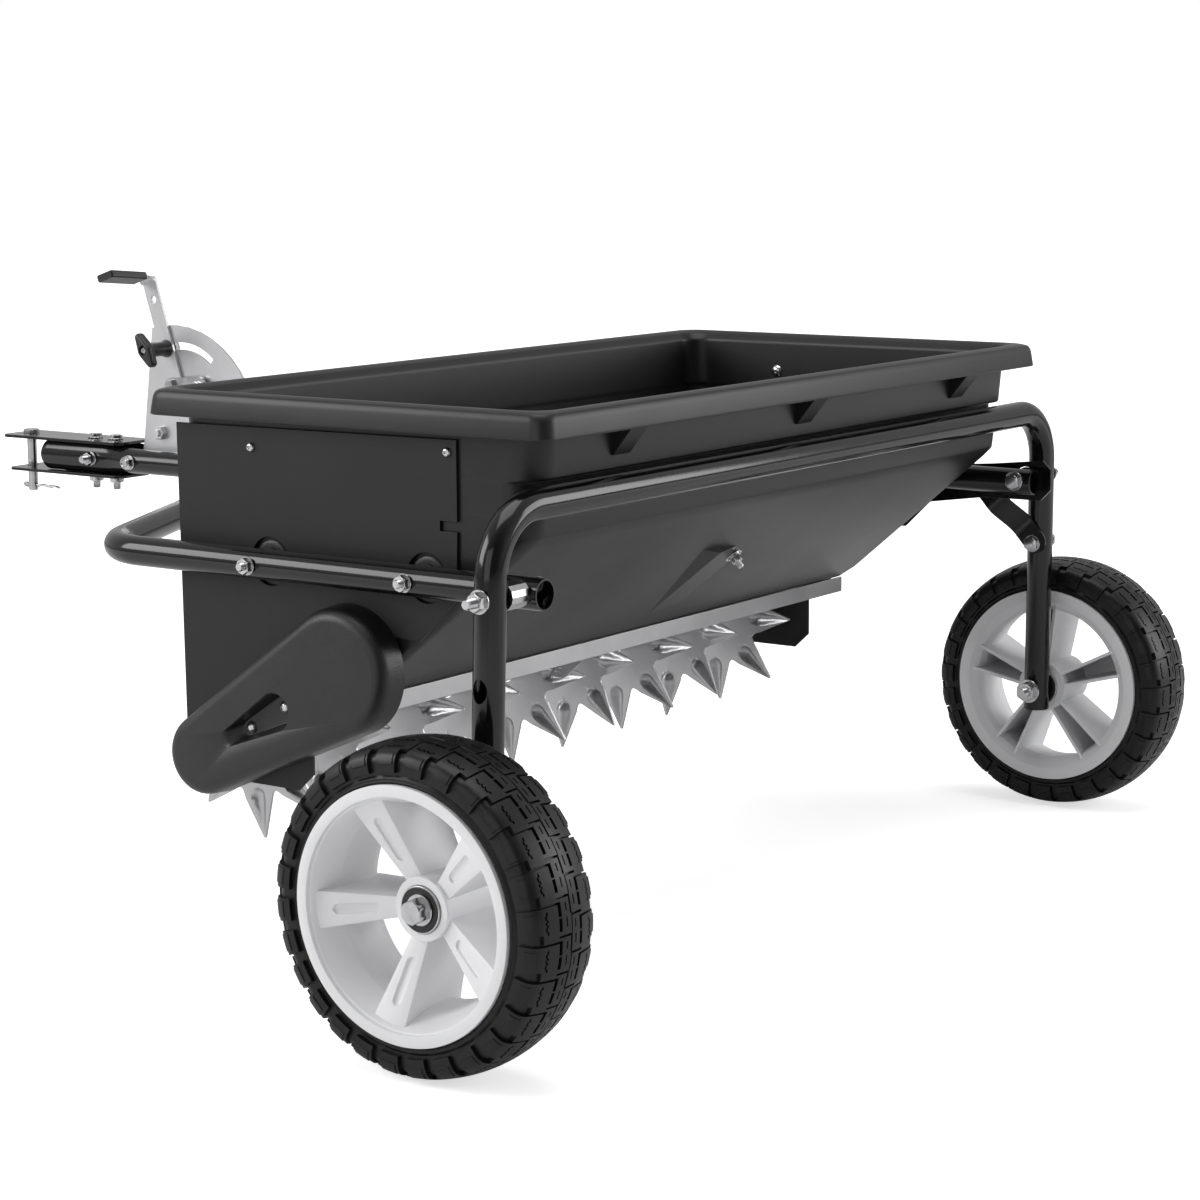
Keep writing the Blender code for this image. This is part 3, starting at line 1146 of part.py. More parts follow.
def build_lever():
    pivot = Vector((0, LEVER_PIVOT_Y, LEVER_PIVOT_Z))
    half_sheet = LEVER_SHEET / 2

    # Support plate, clamped between the drawbar tubes, with the arc slot
    top_y = QUADRANT_CENTRE_Y + 29 * mm
    start = math.acos((top_y - QUADRANT_CENTRE_Y) / QUADRANT_RADIUS)
    outline = [(783 * mm, 374 * mm), (790 * mm, 346 * mm), (698 * mm, 346 * mm), (698 * mm, 374 * mm)]
    outline += reversed(arc((QUADRANT_CENTRE_Y, QUADRANT_CENTRE_Z), QUADRANT_RADIUS, start, math.radians(176), 12))
    bm = bmesh.new()
    prism_x(bm, outline, -half_sheet, half_sheet)
    plate = place("lever_quadrant", bm, ZINC)
    cuts = bmesh.new()
    front = math.pi / 2 - LEVER_LEAN - math.radians(4)
    rear = math.pi / 2 - LEVER_LEAN + LEVER_TRAVEL + math.radians(4)
    centre = (LEVER_PIVOT_Y, LEVER_PIVOT_Z)
    slot = arc(centre, SLOT_ARC_RADIUS + SLOT_HALF_WIDTH, front, rear, 10)
    slot += reversed(arc(centre, SLOT_ARC_RADIUS - SLOT_HALF_WIDTH, front, rear, 10))
    prism_x(cuts, slot, -10 * mm, 10 * mm)
    drill(cuts, (-10 * mm, *centre), (10 * mm, *centre), 3 * mm + HOLE_PLAY, 8)
    drill(cuts, (-10 * mm, DRAWBAR_BOLTS_Y[0], DRAWBAR_Z), (10 * mm, DRAWBAR_BOLTS_Y[0], DRAWBAR_Z),
             4 * mm + HOLE_PLAY, 8)
    boolean(plate, cuts, "slot")

    # A stop bolt clamped in the plate just above the tubes
    bolt = bmesh.new()
    hex_bolt(bolt, (half_sheet - 2 * GAP, 757 * mm, 387 * mm), (-1, 0, 0), LEVER_SHEET - 4 * GAP, 4 * mm,
             13 * mm, 3 * mm)
    boolean(plate, bolt, "stop_bolt", "UNION")

    # Lever strap: flat bar with its top bent over towards the left
    lean = LEVER_LEAN
    up = Vector((0, math.sin(lean), math.cos(lean)))
    fore = Vector((0, math.cos(lean), -math.sin(lean)))
    inner_x = -half_sheet - GAP
    outer_x = inner_x - LEVER_SHEET
    half = LEVER_WIDTH / 2
    bm = bmesh.new()
    rings = []
    for distance, share in ((-half, 0.4), (-half * 0.5, 0.9), (half, 1.0), (LEVER_LENGTH - 6 * mm, 1.0)):
        rings.append(strap_section(pivot + up * distance, fore * half * share, inner_x, outer_x))
    bend = pivot + up * (LEVER_LENGTH - LEVER_SHEET)
    slant = Vector((outer_x - 3 * mm, 0, 0))
    rings.append([bend + up * LEVER_SHEET * 0.4 - fore * half + Vector((inner_x, 0, 0)),
                  bend + up * LEVER_SHEET * 0.4 + fore * half + Vector((inner_x, 0, 0)),
                  bend - up * LEVER_SHEET * 0.8 + fore * half + slant,
                  bend - up * LEVER_SHEET * 0.8 - fore * half + slant])
    for distance in (6 * mm, TAB_LENGTH):
        base = bend + Vector((outer_x - distance, 0, 0)) + up * distance * TAB_RISE
        rings.append([base + up * LEVER_SHEET - fore * half * 0.75, base + up * LEVER_SHEET + fore * half * 0.75,
                      base + fore * half * 0.75, base - fore * half * 0.75])
    bridge_rings(bm, rings)
    lever = place("control_lever", bm, ZINC, pivot=pivot)
    holes = bmesh.new()
    for distance, radius in ((0, 3), (SLOT_ARC_RADIUS / mm, 3), (LEVER_HOLE_DISTANCE / mm, 3)):
        centre = pivot + up * distance * mm
        drill(holes, centre + Vector((-12 * mm, 0, 0)), centre + Vector((8 * mm, 0, 0)),
                 radius * mm + HOLE_PLAY, 8)
    link = pivot + link_offset(0.0)
    drill(holes, link + Vector((-12 * mm, 0, 0)), link + Vector((8 * mm, 0, 0)), 3 * mm + HOLE_PLAY, 8)
    boolean(lever, holes, "holes")

    # Grip over the bent tab
    bm = bmesh.new()
    rings = []
    grip_half = GRIP_WIDTH / 2
    for distance, grow in ((10 * mm, 0.9), (12 * mm, 1.0), (TAB_LENGTH + 1 * mm, 1.0), (TAB_LENGTH + 3 * mm, 0.88)):
        base = bend + Vector((outer_x - distance, 0, 0)) + up * (distance * TAB_RISE + LEVER_SHEET / 2)
        wide = fore * grip_half * grow
        tall = up * GRIP_HEIGHT / 2 * grow
        rings.append([base - wide - tall, base + wide - tall, base + wide + tall, base - wide + tall])
    bridge_rings(bm, rings)
    grip = place("lever_grip", bm, BLACK_PLASTIC, pivot=pivot)
    slot = bmesh.new()
    rings = []
    for distance in (5 * mm, TAB_LENGTH + GAP):
        base = bend + Vector((outer_x - distance, 0, 0)) + up * distance * TAB_RISE
        wide = fore * (half * 0.75 + GAP)
        rings.append([base - wide - up * GAP, base + wide - up * GAP,
                      base + wide + up * (LEVER_SHEET + GAP), base - wide + up * (LEVER_SHEET + GAP)])
    bridge_rings(slot, rings)
    boolean(grip, slot, "tab_slot")

    # Pivot bolt
    bm = bmesh.new()
    hex_bolt(bm, pivot + Vector((half_sheet, 0, 0)), (-1, 0, 0), 2 * LEVER_SHEET + GAP, 3 * mm, 10 * mm, 3 * mm)
    place("lever_pivot_bolt", bm, ZINC)

    # Wing knob whose stud runs through the lever and the arc slot
    stud = pivot + up * SLOT_ARC_RADIUS
    bm = bmesh.new()
    outside = outer_x - GAP
    stack(bm, stud + Vector((outside, 0, 0)), (-1, 0, 0),
          [(0, 7 * mm), (30 * mm, 6 * mm)], 12)
    knob = place("wing_knob", bm, BLACK_PLASTIC, pivot=stud, smooth=True)
    wing = bmesh.new()
    tilt = math.radians(31)
    long_way = Vector((0, math.sin(tilt), math.cos(tilt)))
    short_way = Vector((0, math.cos(tilt), -math.sin(tilt)))
    rings = []
    for depth in (26 * mm, 34 * mm):
        ring = []
        for k in range(16):
            angle = 2 * math.pi * k / 16
            reach = 11 * mm + 8.5 * mm * abs(math.cos(angle))
            ring.append(stud + Vector((outside - depth, 0, 0)) + long_way * reach * math.cos(angle)
                        + short_way * 8 * mm * math.sin(angle))
        rings.append(ring)
    bridge_rings(wing, rings)
    boolean(knob, wing, "wings", "UNION")
    bm = bmesh.new()
    stack(bm, stud + Vector((half_sheet + 7 * mm, 0, 0)), (-1, 0, 0), [
        (0, 7 * mm), (4.5 * mm, 8 * mm), (7 * mm - GAP, 8 * mm), (7 * mm - GAP, 3 * mm),
        (7 * mm + 2 * half_sheet + GAP + LEVER_SHEET, 3 * mm)], 8)
    place("knob_stud", bm, ZINC, pivot=stud)


def strap_section(centre, edge, inner_x, outer_x):
    return [centre - edge + Vector((inner_x, 0, 0)), centre + edge + Vector((inner_x, 0, 0)),
            centre + edge + Vector((outer_x, 0, 0)), centre - edge + Vector((outer_x, 0, 0))]


def link_offset(turned):
    """From the lever's pivot to the rod's bolt, when the lever is turned back by an angle."""
    angle = LEVER_LEAN + LINK_LEAD - turned
    return Vector((0, LINK_RADIUS * math.sin(angle), LINK_RADIUS * math.cos(angle)))


def build_rod():
    """A flat link on the lever runs into a bent rod, whose cranked end sits in the slot of the gate's lug."""
    link = Vector((0, LEVER_PIVOT_Y, LEVER_PIVOT_Z)) + link_offset(0.0)
    flat_x = -(LEVER_SHEET * 1.5 + 2 * GAP)
    tail = Vector((0, 698 * mm, 439 * mm))
    along = (tail - link).normalized()
    across = Vector((1, 0, 0)).cross(along)
    bm = bmesh.new()
    outline = []
    for k in range(7):
        turn = math.radians(-90 + 30 * k)
        outline.append(tail + 7.5 * mm * (math.cos(turn) * along + math.sin(turn) * across))
    for k in range(7):
        turn = math.radians(90 + 30 * k)
        outline.append(link + 7.5 * mm * (math.cos(turn) * along + math.sin(turn) * across))
    bridge_rings(bm, [[p + Vector((x, 0, 0)) for p in outline] for x in (flat_x - LEVER_SHEET, flat_x)])
    rod = place("control_rod", bm, ZINC, pivot=link, smooth=True)

    rod_x = flat_x - LEVER_SHEET - ROD_RADIUS + 1 * mm
    pin = Vector((ROD_X, *ROD_REAR))
    corners = [
        (rod_x, tail.y + 5 * mm, tail.z),
        (rod_x, 640 * mm, 418 * mm),
        (-52 * mm, 556 * mm, 392 * mm),
        (ROD_X, 430 * mm, 296 * mm),
        (ROD_X, 278 * mm, pin.z + 1 * mm),
        (ROD_X, pin.y, pin.z),
    ]
    path = round_corners(corners, 30 * mm, 2)
    body = bmesh.new()
    bridge_rings(body, path_rings(path, (1, 0, 0), ROD_RADIUS, 8))
    boolean(rod, body, "rod", "UNION")
    crank = bmesh.new()
    stack(crank, pin - Vector((ROD_RADIUS * 0.8, 0, 0)), (1, 0, 0),
          [(0, ROD_PIN_RADIUS), (LUG_X + 6 * mm - ROD_X + ROD_RADIUS * 0.8, ROD_PIN_RADIUS)], 8)
    boolean(rod, crank, "crank", "UNION")
    bore = bmesh.new()
    drill(bore, link + Vector((flat_x - 8 * mm, 0, 0)), link + Vector((flat_x + 8 * mm, 0, 0)),
             3 * mm + HOLE_PLAY, 8)
    boolean(rod, bore, "bore")

    # The bolt that carries the link on the lever
    bm = bmesh.new()
    head = corner_radius(10 * mm)
    outside = flat_x - LEVER_SHEET - GAP
    inside = -LEVER_SHEET / 2 - 2 * GAP
    stack(bm, link + Vector((outside - 4 * mm, 0, 0)), (1, 0, 0), [
        (0, head), (4 * mm, head), (4 * mm, 3 * mm), (inside - outside + 4 * mm, 3 * mm)], 6)
    place("lever_link_bolt", bm, ZINC)


def build_hitch():
    top_low = DRAWBAR_Z + DRAWBAR_FLAT_HALF_HEIGHT + GAP
    low_top = DRAWBAR_Z - DRAWBAR_FLAT_HALF_HEIGHT - GAP
    levels = (("hitch_plate_upper", top_low, top_low + HITCH_SHEET, HITCH_TIP_Y),
              ("hitch_plate_lower", low_top - HITCH_SHEET, low_top, HITCH_TIP_Y - 8 * mm))
    wide = HITCH_HALF_WIDTH
    for name, low, high, tip in levels:
        cut = 9 * mm
        outline = [(-wide + cut, HITCH_REAR_Y), (wide - cut, HITCH_REAR_Y), (wide, HITCH_REAR_Y + cut),
                   (wide, tip - 5 * mm), (wide - 5 * mm, tip), (-wide + 5 * mm, tip), (-wide, tip - 5 * mm),
                   (-wide, HITCH_REAR_Y + cut)]
        bm = bmesh.new()
        bridge_rings(bm, [[Vector((x, y, z)) for x, y in outline] for z in (low, high)])
        plate = place(name, bm, BLACK_STEEL)
        holes = bmesh.new()
        for y, radius in ((HITCH_PIN_Y, HITCH_PIN_RADIUS + 0.8 * mm), (PLATE_BOLTS_Y[0], 4 * mm + HOLE_PLAY),
                          (PLATE_BOLTS_Y[1], 4 * mm + HOLE_PLAY)):
            drill(holes, (0, y, low - 5 * mm), (0, y, high + 5 * mm), radius, 12)
        boolean(plate, holes, "holes")

    for where, y in zip(("rear", "front"), PLATE_BOLTS_Y):
        grip = 2 * (DRAWBAR_FLAT_HALF_HEIGHT + GAP + HITCH_SHEET)
        bm = bmesh.new()
        hex_bolt(bm, (0, y, top_low + HITCH_SHEET), (0, 0, -1), grip, 4 * mm, 13 * mm, 8 * mm)
        place(f"hitch_plate_bolt_{where}", bm, ZINC)

    # Cross bolts clamp the two tubes to each other: one where they are round, one where they are flat.
    for where, y, half_width, tail in (("rear", DRAWBAR_BOLTS_Y[0], TUBE_RADIUS, 1 * mm),
                                       ("front", DRAWBAR_BOLTS_Y[1], DRAWBAR_FLAT_HALF_WIDTH, 8 * mm)):
        reach = DRAWBAR_X + half_width
        bm = bmesh.new()
        hex_bolt(bm, (reach, y, DRAWBAR_Z), (-1, 0, 0), 2 * reach, 4 * mm, 13 * mm, tail)
        place(f"drawbar_bolt_{where}", bm, ZINC)

    # Hitch pin with a head on top, and the hairpin clip through its foot
    axis = Vector((0, HITCH_PIN_Y, 0))
    head_low = top_low + HITCH_SHEET + GAP
    foot = low_top - HITCH_SHEET - 24 * mm
    bm = bmesh.new()
    stack(bm, axis + Vector((0, 0, foot)), (0, 0, 1), [
        (0, HITCH_PIN_RADIUS - 1 * mm), (1.5 * mm, HITCH_PIN_RADIUS), (head_low - foot, HITCH_PIN_RADIUS),
        (head_low - foot, 8.5 * mm), (head_low - foot + 3 * mm, 8.5 * mm),
        (head_low - foot + 4 * mm, 7 * mm)], 12)
    pin = place("hitch_pin", bm, ZINC, pivot=axis + Vector((0, 0, head_low)), smooth=True)
    clip_z = foot + 6 * mm
    wire = 1.3 * mm
    hole = bmesh.new()
    drill(hole, (0, HITCH_PIN_Y - 12 * mm, clip_z), (0, HITCH_PIN_Y + 12 * mm, clip_z), wire + 0.5 * mm, 8)
    boolean(pin, hole, "clip_hole")

    # The clip's straight leg runs through the pin, and its wavy leg lies against the pin's side.
    ring_front = HITCH_PIN_Y + 10 * mm
    straight_end = HITCH_PIN_Y - 34 * mm
    path = [Vector((0, straight_end, clip_z)), Vector((0, ring_front, clip_z))]
    for i in range(1, 8):
        angle = math.pi * i / 8
        path.append(Vector((3.9 * mm - 3.9 * mm * math.cos(angle),
                            ring_front + 5.5 * mm * math.sin(angle), clip_z)))
    wave = ((6, 7.9), (0, 6.9), (-7, 8.3), (-13, 7.2), (-19, 6.8), (-25, 7.8), (-30, 9.8))
    for dy, x in wave:
        path.append(Vector((x * mm, HITCH_PIN_Y + dy * mm, clip_z)))
    bm = bmesh.new()
    bridge_rings(bm, path_rings(path, (0, 0, 1), wire, 6))
    place("hairpin_clip", bm, ZINC, pivot=Vector((0, HITCH_PIN_Y, clip_z)), smooth=True)


def build_all():
    clear_scene()
    build_hopper()
    build_end_plates()
    build_arms()
    build_wheel_frame()
    build_arm_bolts()
    build_lock_bracket()
    build_bottom()
    build_reel()
    build_drive()
    build_cover()
    build_wheel("left", -1, SPOKE_PHASE_LEFT)
    build_wheel("right", 1, SPOKE_PHASE_RIGHT)
    build_axles()
    build_lever()
    build_rod()
    build_hitch()


build_all()
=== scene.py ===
import json
from math import acos, atan2, copysign, cos, dist, hypot, pi, radians, sin, sqrt, tan

import bmesh
import bpy
from mathutils import Matrix, Vector

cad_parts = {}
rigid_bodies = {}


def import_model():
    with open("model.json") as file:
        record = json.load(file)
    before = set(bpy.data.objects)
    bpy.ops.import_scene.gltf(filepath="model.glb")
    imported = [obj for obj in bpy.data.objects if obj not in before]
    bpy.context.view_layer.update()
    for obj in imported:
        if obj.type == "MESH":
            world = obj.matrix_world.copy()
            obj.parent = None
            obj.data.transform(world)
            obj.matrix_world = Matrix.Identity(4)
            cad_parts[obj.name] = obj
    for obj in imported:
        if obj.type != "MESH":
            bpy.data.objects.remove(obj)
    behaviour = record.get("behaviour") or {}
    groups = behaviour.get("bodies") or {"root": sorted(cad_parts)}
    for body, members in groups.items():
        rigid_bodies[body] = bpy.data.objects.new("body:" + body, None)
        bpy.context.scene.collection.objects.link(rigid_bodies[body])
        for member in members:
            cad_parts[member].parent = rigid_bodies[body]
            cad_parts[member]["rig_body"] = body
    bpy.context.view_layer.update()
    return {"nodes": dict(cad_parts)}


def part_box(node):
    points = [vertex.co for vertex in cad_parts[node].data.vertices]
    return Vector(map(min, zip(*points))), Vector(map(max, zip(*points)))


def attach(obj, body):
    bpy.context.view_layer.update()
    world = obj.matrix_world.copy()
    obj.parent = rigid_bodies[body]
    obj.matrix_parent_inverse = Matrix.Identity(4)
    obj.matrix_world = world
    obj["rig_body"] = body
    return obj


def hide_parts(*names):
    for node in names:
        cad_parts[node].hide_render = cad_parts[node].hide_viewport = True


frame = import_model()
NODES = frame["nodes"]

# Lengths are in metres: millimetres are written times mm. Places along Y are counted from the wheel axle.
mm = 0.001


def scaled(*pairs):
    """Pairs of millimetres, in metres."""
    return [(a * mm, b * mm) for a, b in pairs]


TYRE_LOW, TYRE_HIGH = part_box("tyre_left")
AXLE_Y = (TYRE_LOW.y + TYRE_HIGH.y) / 2
SIDES = (("left", -1), ("right", 1))

# Wheels
TYRE_RADIUS = (TYRE_HIGH.z - TYRE_LOW.z) / 2
WHEEL_X = -(TYRE_LOW.x + TYRE_HIGH.x) / 2
TREAD_SHOULDER = 28 * mm
CROWN_DROP = 3.5 * mm
TREAD_PITCHES = 28
GROOVE_WALL = 0.18 * mm

# The tables of the tread are in plain millimetres. Edges of its grooves: along as shares of a pitch, repeated
# half a pitch on, and across
LUG_STEP = 3.2
ALONG_EDGES = (0, 0.05, 0.13, 0.18, 0.3, 0.38)
ACROSS_EDGES = (1, 4.5, 5.5, 10.5, 13.4, 24, 25.3, 26.6, 29, 34, 43.5, 50)
ACROSS_CURVE = (0, 8, 18, 31.7, 35.4, 38.9, 46.5, 52.5)

# Along from and to, across from and to, and the height there
TREAD_FORMS = (
    (0, 0.5, 0, 1, -3), (0, 0.05, 1, 13.4, -3), (0.13, 0.18, 13.4, 29, -2.6), (0.13, 0.5, 10.5, 13.4, -3.4),
    (0.55, 0.88, 10.5, 13.4, -3.4), (0.18, 0.38, 4.5, 5.5, -2.8), (0.55, 0.8, 4.5, 5.5, -2.8),
    (0.3, 0.38, 24, 25.3, -2.8), (0.38, 0.5, 25.3, 26.6, -2.8), (0.5, 0.55, 24, 25.3, -2.8),
    (0.55, 0.63, 25.3, 26.6, -2.8), (0.63, 0.68, 24, 25.3, -2.8), (0.68, 0.8, 25.3, 26.6, -2.8),
    (0.8, 0.88, 24, 25.3, -2.8), (0.88, 1, 29, 99, -LUG_STEP), (0, 0.18, 29, 99, -LUG_STEP),
    (0, 1, 50, 99, -LUG_STEP), (0.3, 0.8, 34, 43.5, 0.7))

# The tyre's shoulder and bead, and a bearing's race and seal, as (offset, radius)
SHOULDER = scaled((31.5, 122.2), (34.4, 120), (36.3, 117), (37.1, 113), (37.4, 108), (37.2, 104))
BEAD = scaled((33.2, 91.4), (33.2, 98), (34.9, 98.2), (35.6, 99.4), (35.3, 100.4), (35.6, 101.8))
RACE = scaled((-2, 18), (0.5, 18), (0.9, 17.7), (0.9, 17.1), (0.4, 16.9), (-2, 16.9))
SEAL = scaled((-2, 16.7), (0.2, 16.7), (0.6, 16.2), (0.8, 13.5), (0.6, 12.2), (-2, 12.2))
RIM_RADIUS = 97.7 * mm
RIM_HALF_WIDTH = 38.5 * mm
HUB_RADIUS = 24.5 * mm
HUB_FACE = 12.5 * mm
HUB_REACH = 46 * mm
BEARING_RADIUS = 18 * mm
SPOKES = 5
SPOKE_PHASE = {"left": radians(-6.2), "right": radians(15)}
SPOKE_SKIN = 3 * mm
SPOKE_SLOT = (38 * mm, 74 * mm)

# The inner and outer end of a spoke: distance from the axis, half width, and the offsets of its face and its back
SPOKE_ENDS = ((19.5 * mm, 7.2 * mm, 7 * mm, -43 * mm), (86 * mm, 14.6 * mm, 30.5 * mm, -35.5 * mm))

# Tubes
TUBE_RADIUS = 12.5 * mm
TUBE_WALL = 1.6 * mm
TUBE_SIDES = 36
ARM_X = 407.5 * mm
ARM_Z = 344.7 * mm
ARM_REAR_Y = -21.8 * mm
ARM_BEND_Y = 437 * mm
ARM_BOLT_FRONT_Y = 266 * mm
ARM_BOLT_REAR_Y = 104 * mm
DRAWBAR_X = 14.3 * mm
DRAWBAR_Z = 357.5 * mm
DRAWBAR_BEND_Y = 594 * mm
DRAWBAR_FRONT_Y = 914 * mm
DRAWBAR_FLAT = (7 * mm, 15.3 * mm)
NOSE_ROUND = 140 * mm
NOSE_FLAT = 90 * mm
FRAME_BEND = 60 * mm
LEG_Y = -6 * mm
LEG_BOLT_Z = 346.5 * mm
LEG_HOLE_Z = 279 * mm
LEG_HOLE_RADIUS = 5.5 * mm
LEG_OVAL = (6.4 * mm, 9.4 * mm)
LEG_END_Z = 107.5 * mm
LEG_SPLAY = radians(1.5)
LEG_LEAN = radians(0.9)
LEG_BEND = 52 * mm
SPACER_LENGTH = 22.4 * mm
CROSS_TUBE_Z = 411.4 * mm

# Reel
REEL_Y = 312 * mm
REEL_Z = 189 * mm
SPIKES = 8
SPIKE_PHASE = radians(2.6)
SHEET = 2 * mm

# A disc in plain millimetres: radii, the foot of a spike's flank as (along, across) and its slope, and the ridge
# and the lean of a spike
SPIKE_RADIUS = 88
VALLEY_RADIUS = 49
BORE_RADIUS = 10.4
FLAT_RADIUS = 36
VALLEY_RISE = 6.9
FLANK_FOOT = (54, 14.5)
FLANK_SLOPE = 0.403
RIDGE_START = 53
RIDGE_ROUND = 8.5
SPIKE_LEAN = 5.3

# Columns of a disc's mesh, by the angle from the middle of a spike, and its rows between the flat and the edge
DISC_DEGREES = (0, 0.5, 1.5, 2.9, 4.3, 5.7, 7.2, 8.6, 10.2, 12.5, 15, 17, 19, 20.8, 22.5)
DISC_SHARES = (0.0, 0.14, 0.17, 0.2, 0.23, 0.27, 0.31, 0.36, 0.44, 0.53, 0.64, 0.76, 0.88, 1.0)

# Hopper
HOPPER_END = 389.6 * mm
HOPPER_WALL = 3 * mm
HOPPER_REAR_Y = -4.4 * mm
HOPPER_FRONT_Y = 369 * mm
HOPPER_CORNER = 25 * mm
RIM_BOTTOM_Z = 459.7 * mm
RIM_TOP_Z = 481.5 * mm
RIM_OVERHANG = 19.1 * mm
SLOPE_TOP_Z = 371.5 * mm
HOPPER_BOTTOM_Z = 239 * mm
SLOT_REAR_Y = 177.5 * mm
SLOT_FRONT_Y = 224 * mm
SLOT_END = 374 * mm
RECESS_DEPTH = 11 * mm
SLOPE_INSET = 22 * mm
SLOPE_RUN = SLOT_REAR_Y - HOPPER_REAR_Y - SLOPE_INSET
SLOPE_OUT = Vector((0, HOPPER_BOTTOM_Z - SLOPE_TOP_Z, -SLOPE_RUN)).normalized()
SLOPE_BOLT = (33 * mm, 311 * mm)
WALL_SCREW = (262 * mm, 443.4 * mm)
RIB_PLACES = (-278 * mm, 0.0, 278 * mm)

# The hopper's rim from the inside out and back to the wall, in plain millimetres: offset from the walls, corner
# radius and depth below the top
RIM = ((-3, 22, 9), (1, 22, 2.5), (6.1, 20, 0), (10.1, 18, 0), (15.1, 15, 1.8), (17.1, 15, 6), (19.1, 15, 21.8),
       (16.1, 13, 21.8), (14.1, 13, 7), (0, 25, 6.5))

# The gusset on the rear slope, as (X, Z, height) in plain millimetres: its corners in turn, and its peak
GUSSET = ((-47.6, 326.7, -0.4), (-5.6, 254, -0.2), (40.3, 257.4, -0.4), (46, 300, -0.4), (20, 322, -0.4))
GUSSET_PEAK = (-20, 325, 5.5)

# End plates: the outline as (Y, Z), the holes with their radii, and the screws
AGITATOR_PLACE = (196 * mm, 262 * mm)
PLATE_INSIDE = 389.9 * mm
PLATE_SHEET = 2.5 * mm
PLATE_TOP = scaled((366, 453), (73, 455), (73, 391), (90, 391), (90, 383), (73, 383), (74.5, 330), (112, 293.5))
PLATE_CUT = {"left": scaled((138, 294.5), (150, 262), (172, 240), (180, 219)),
             "right": scaled((130, 293), (160, 262), (196, 236), (210, 219))}
PLATE_FOOT = scaled((225, 212), (225, 172), (241, 157), (335, 157), (363.5, 186))
PLATE_HOLES = ((ARM_BOLT_REAR_Y, ARM_Z, 20 * mm), (ARM_BOLT_FRONT_Y, ARM_Z, 20 * mm), (REEL_Y, REEL_Z, 14.5 * mm),
               (*AGITATOR_PLACE, 10 * mm))
PLATE_SCREWS = scaled((82, 445), (284, 437))

# Chain cover
COVER_ENDS = (((181 * mm, 264.2 * mm), 53.6 * mm), ((328.5 * mm, 180 * mm), 35 * mm))
COVER_FACE_X = -420 * mm
COVER_EDGE = 12 * mm
COVER_ROUND = 11 * mm
COVER_DRAFT = 1.2 * mm
POCKET_DEPTH = 13.5 * mm
POCKET_LIP = ((241.5 * mm, 227 * mm), 15.4 * mm, (291 * mm, 200.5 * mm), 7 * mm)
POCKET_FLOOR = ((238 * mm, 229 * mm), 11.5 * mm, (278.5 * mm, 208 * mm), 6.5 * mm)
COVER_SCREWS = scaled((278, 208), (241, 229))

# The wall of the pocket: depth in plain millimetres, and the share of the way from the lip to the floor
POCKET_WALL = ((-1, -0.42), (0.05, -0.2), (0.5, -0.08), (1.4, 0.04), (3, 0.16), (6, 0.4), (10, 0.72), (12.4, 0.9),
               (13.2, 1), (13.5, 1.25))

# Lever and lock: the wings of the knob, and the brace between the bracket plate and the leg
WING_HEADING = radians(59)
WING_REACH = 14.6 * mm
BRACE_SHEET = 3 * mm
BRACE_HALF = 12 * mm
BRACE_TOP = (38 * mm, 331.5 * mm)

# The clip: the radii of its wire and coil, the coil's rise, its tilt, and its wavy leg in plain millimetres, as
# (distance from the coil, distance from the straight leg)
CLIP_WIRE = 1.25 * mm
CLIP_COIL = 3.6 * mm
CLIP_LIFT = 2.6 * mm
CLIP_TILT = radians(-36)
CLIP_WAVE = ((0, 7.2), (9, 8.6), (20, 4.2), (30, 7.6), (38, 5.2), (43, 7.4))

# Camera, solved from the photograph: place, yaw with pitch and roll, and the length of the lens on its sensor
CAMERA_PLACE = (-2114.56 * mm, -1271.29 * mm, 691.64 * mm)
CAMERA_TURN = (0.6124174, 0.1643930, -0.0058459)
CAMERA_LENS = 85.537
CAMERA_SENSOR = 36

# The studio: the direction of its dim side, its brightness elsewhere and there, how much more gloss sees, and
# the cosines from the dim side between which the brightness changes
DIM_SIDE = (-0.81, -0.575, 0.1)
STUDIO_BRIGHT = 0.42
STUDIO_DIM = 0.06
STUDIO_SHINE = 0.4
DIM_SPAN = (0.2, 0.92)

# The floor's glow: distances from the machine, and the levels there
GLOW_REACH = (1.1, 3.0)
GLOW_LEVELS = (0.63, 1.1)
FLOOR_SIZE = 30.0

# Lights: place, width and height in metres, and power in watts. All of them face the middle of the machine.
LIGHT_TARGET = (0, 0, 0.3)
LIGHTS = {"top_box": ((-0.3, -0.3, 3.2), 2.4, 2.4, 40), "left_box": ((-2.3, 1.9, 1.75), 2.0, 1.6, 55),
          "front_box": ((-2.7, -0.7, 1.0), 1.6, 1.6, 10), "right_box": ((2.0, -2.6, 1.2), 1.6, 1.6, 36)}

# The part of a noise's range that carries its tones, and how blue a grey is
NOISE_RANGE = (0.3, 0.7)
BLUE_CAST = 1.02


# Finishes

def add_node(tree, kind, operation=None, **values):
    """A shader node with its operation and the values of its inputs."""
    made = tree.nodes.new(kind)
    if operation:
        made.operation = operation
    for key, value in values.items():
        made.inputs[key].default_value = value
    return made


def add_range(tree, source, given, wanted=(0.0, 1.0)):
    """A node that carries a source from the given range to the wanted one."""
    values = dict(zip(("From Min", "From Max", "To Min", "To Max"), (*given, *wanted)))
    made = add_node(tree, "ShaderNodeMapRange", **values)
    tree.links.new(source, made.inputs["Value"])
    return made


def add_mix(tree, first, second, factor):
    """The mix of two sources."""
    made = add_node(tree, "ShaderNodeMix", Factor=factor)
    tree.links.new(first, made.inputs["A"])
    tree.links.new(second, made.inputs["B"])
    return made.outputs["Result"]


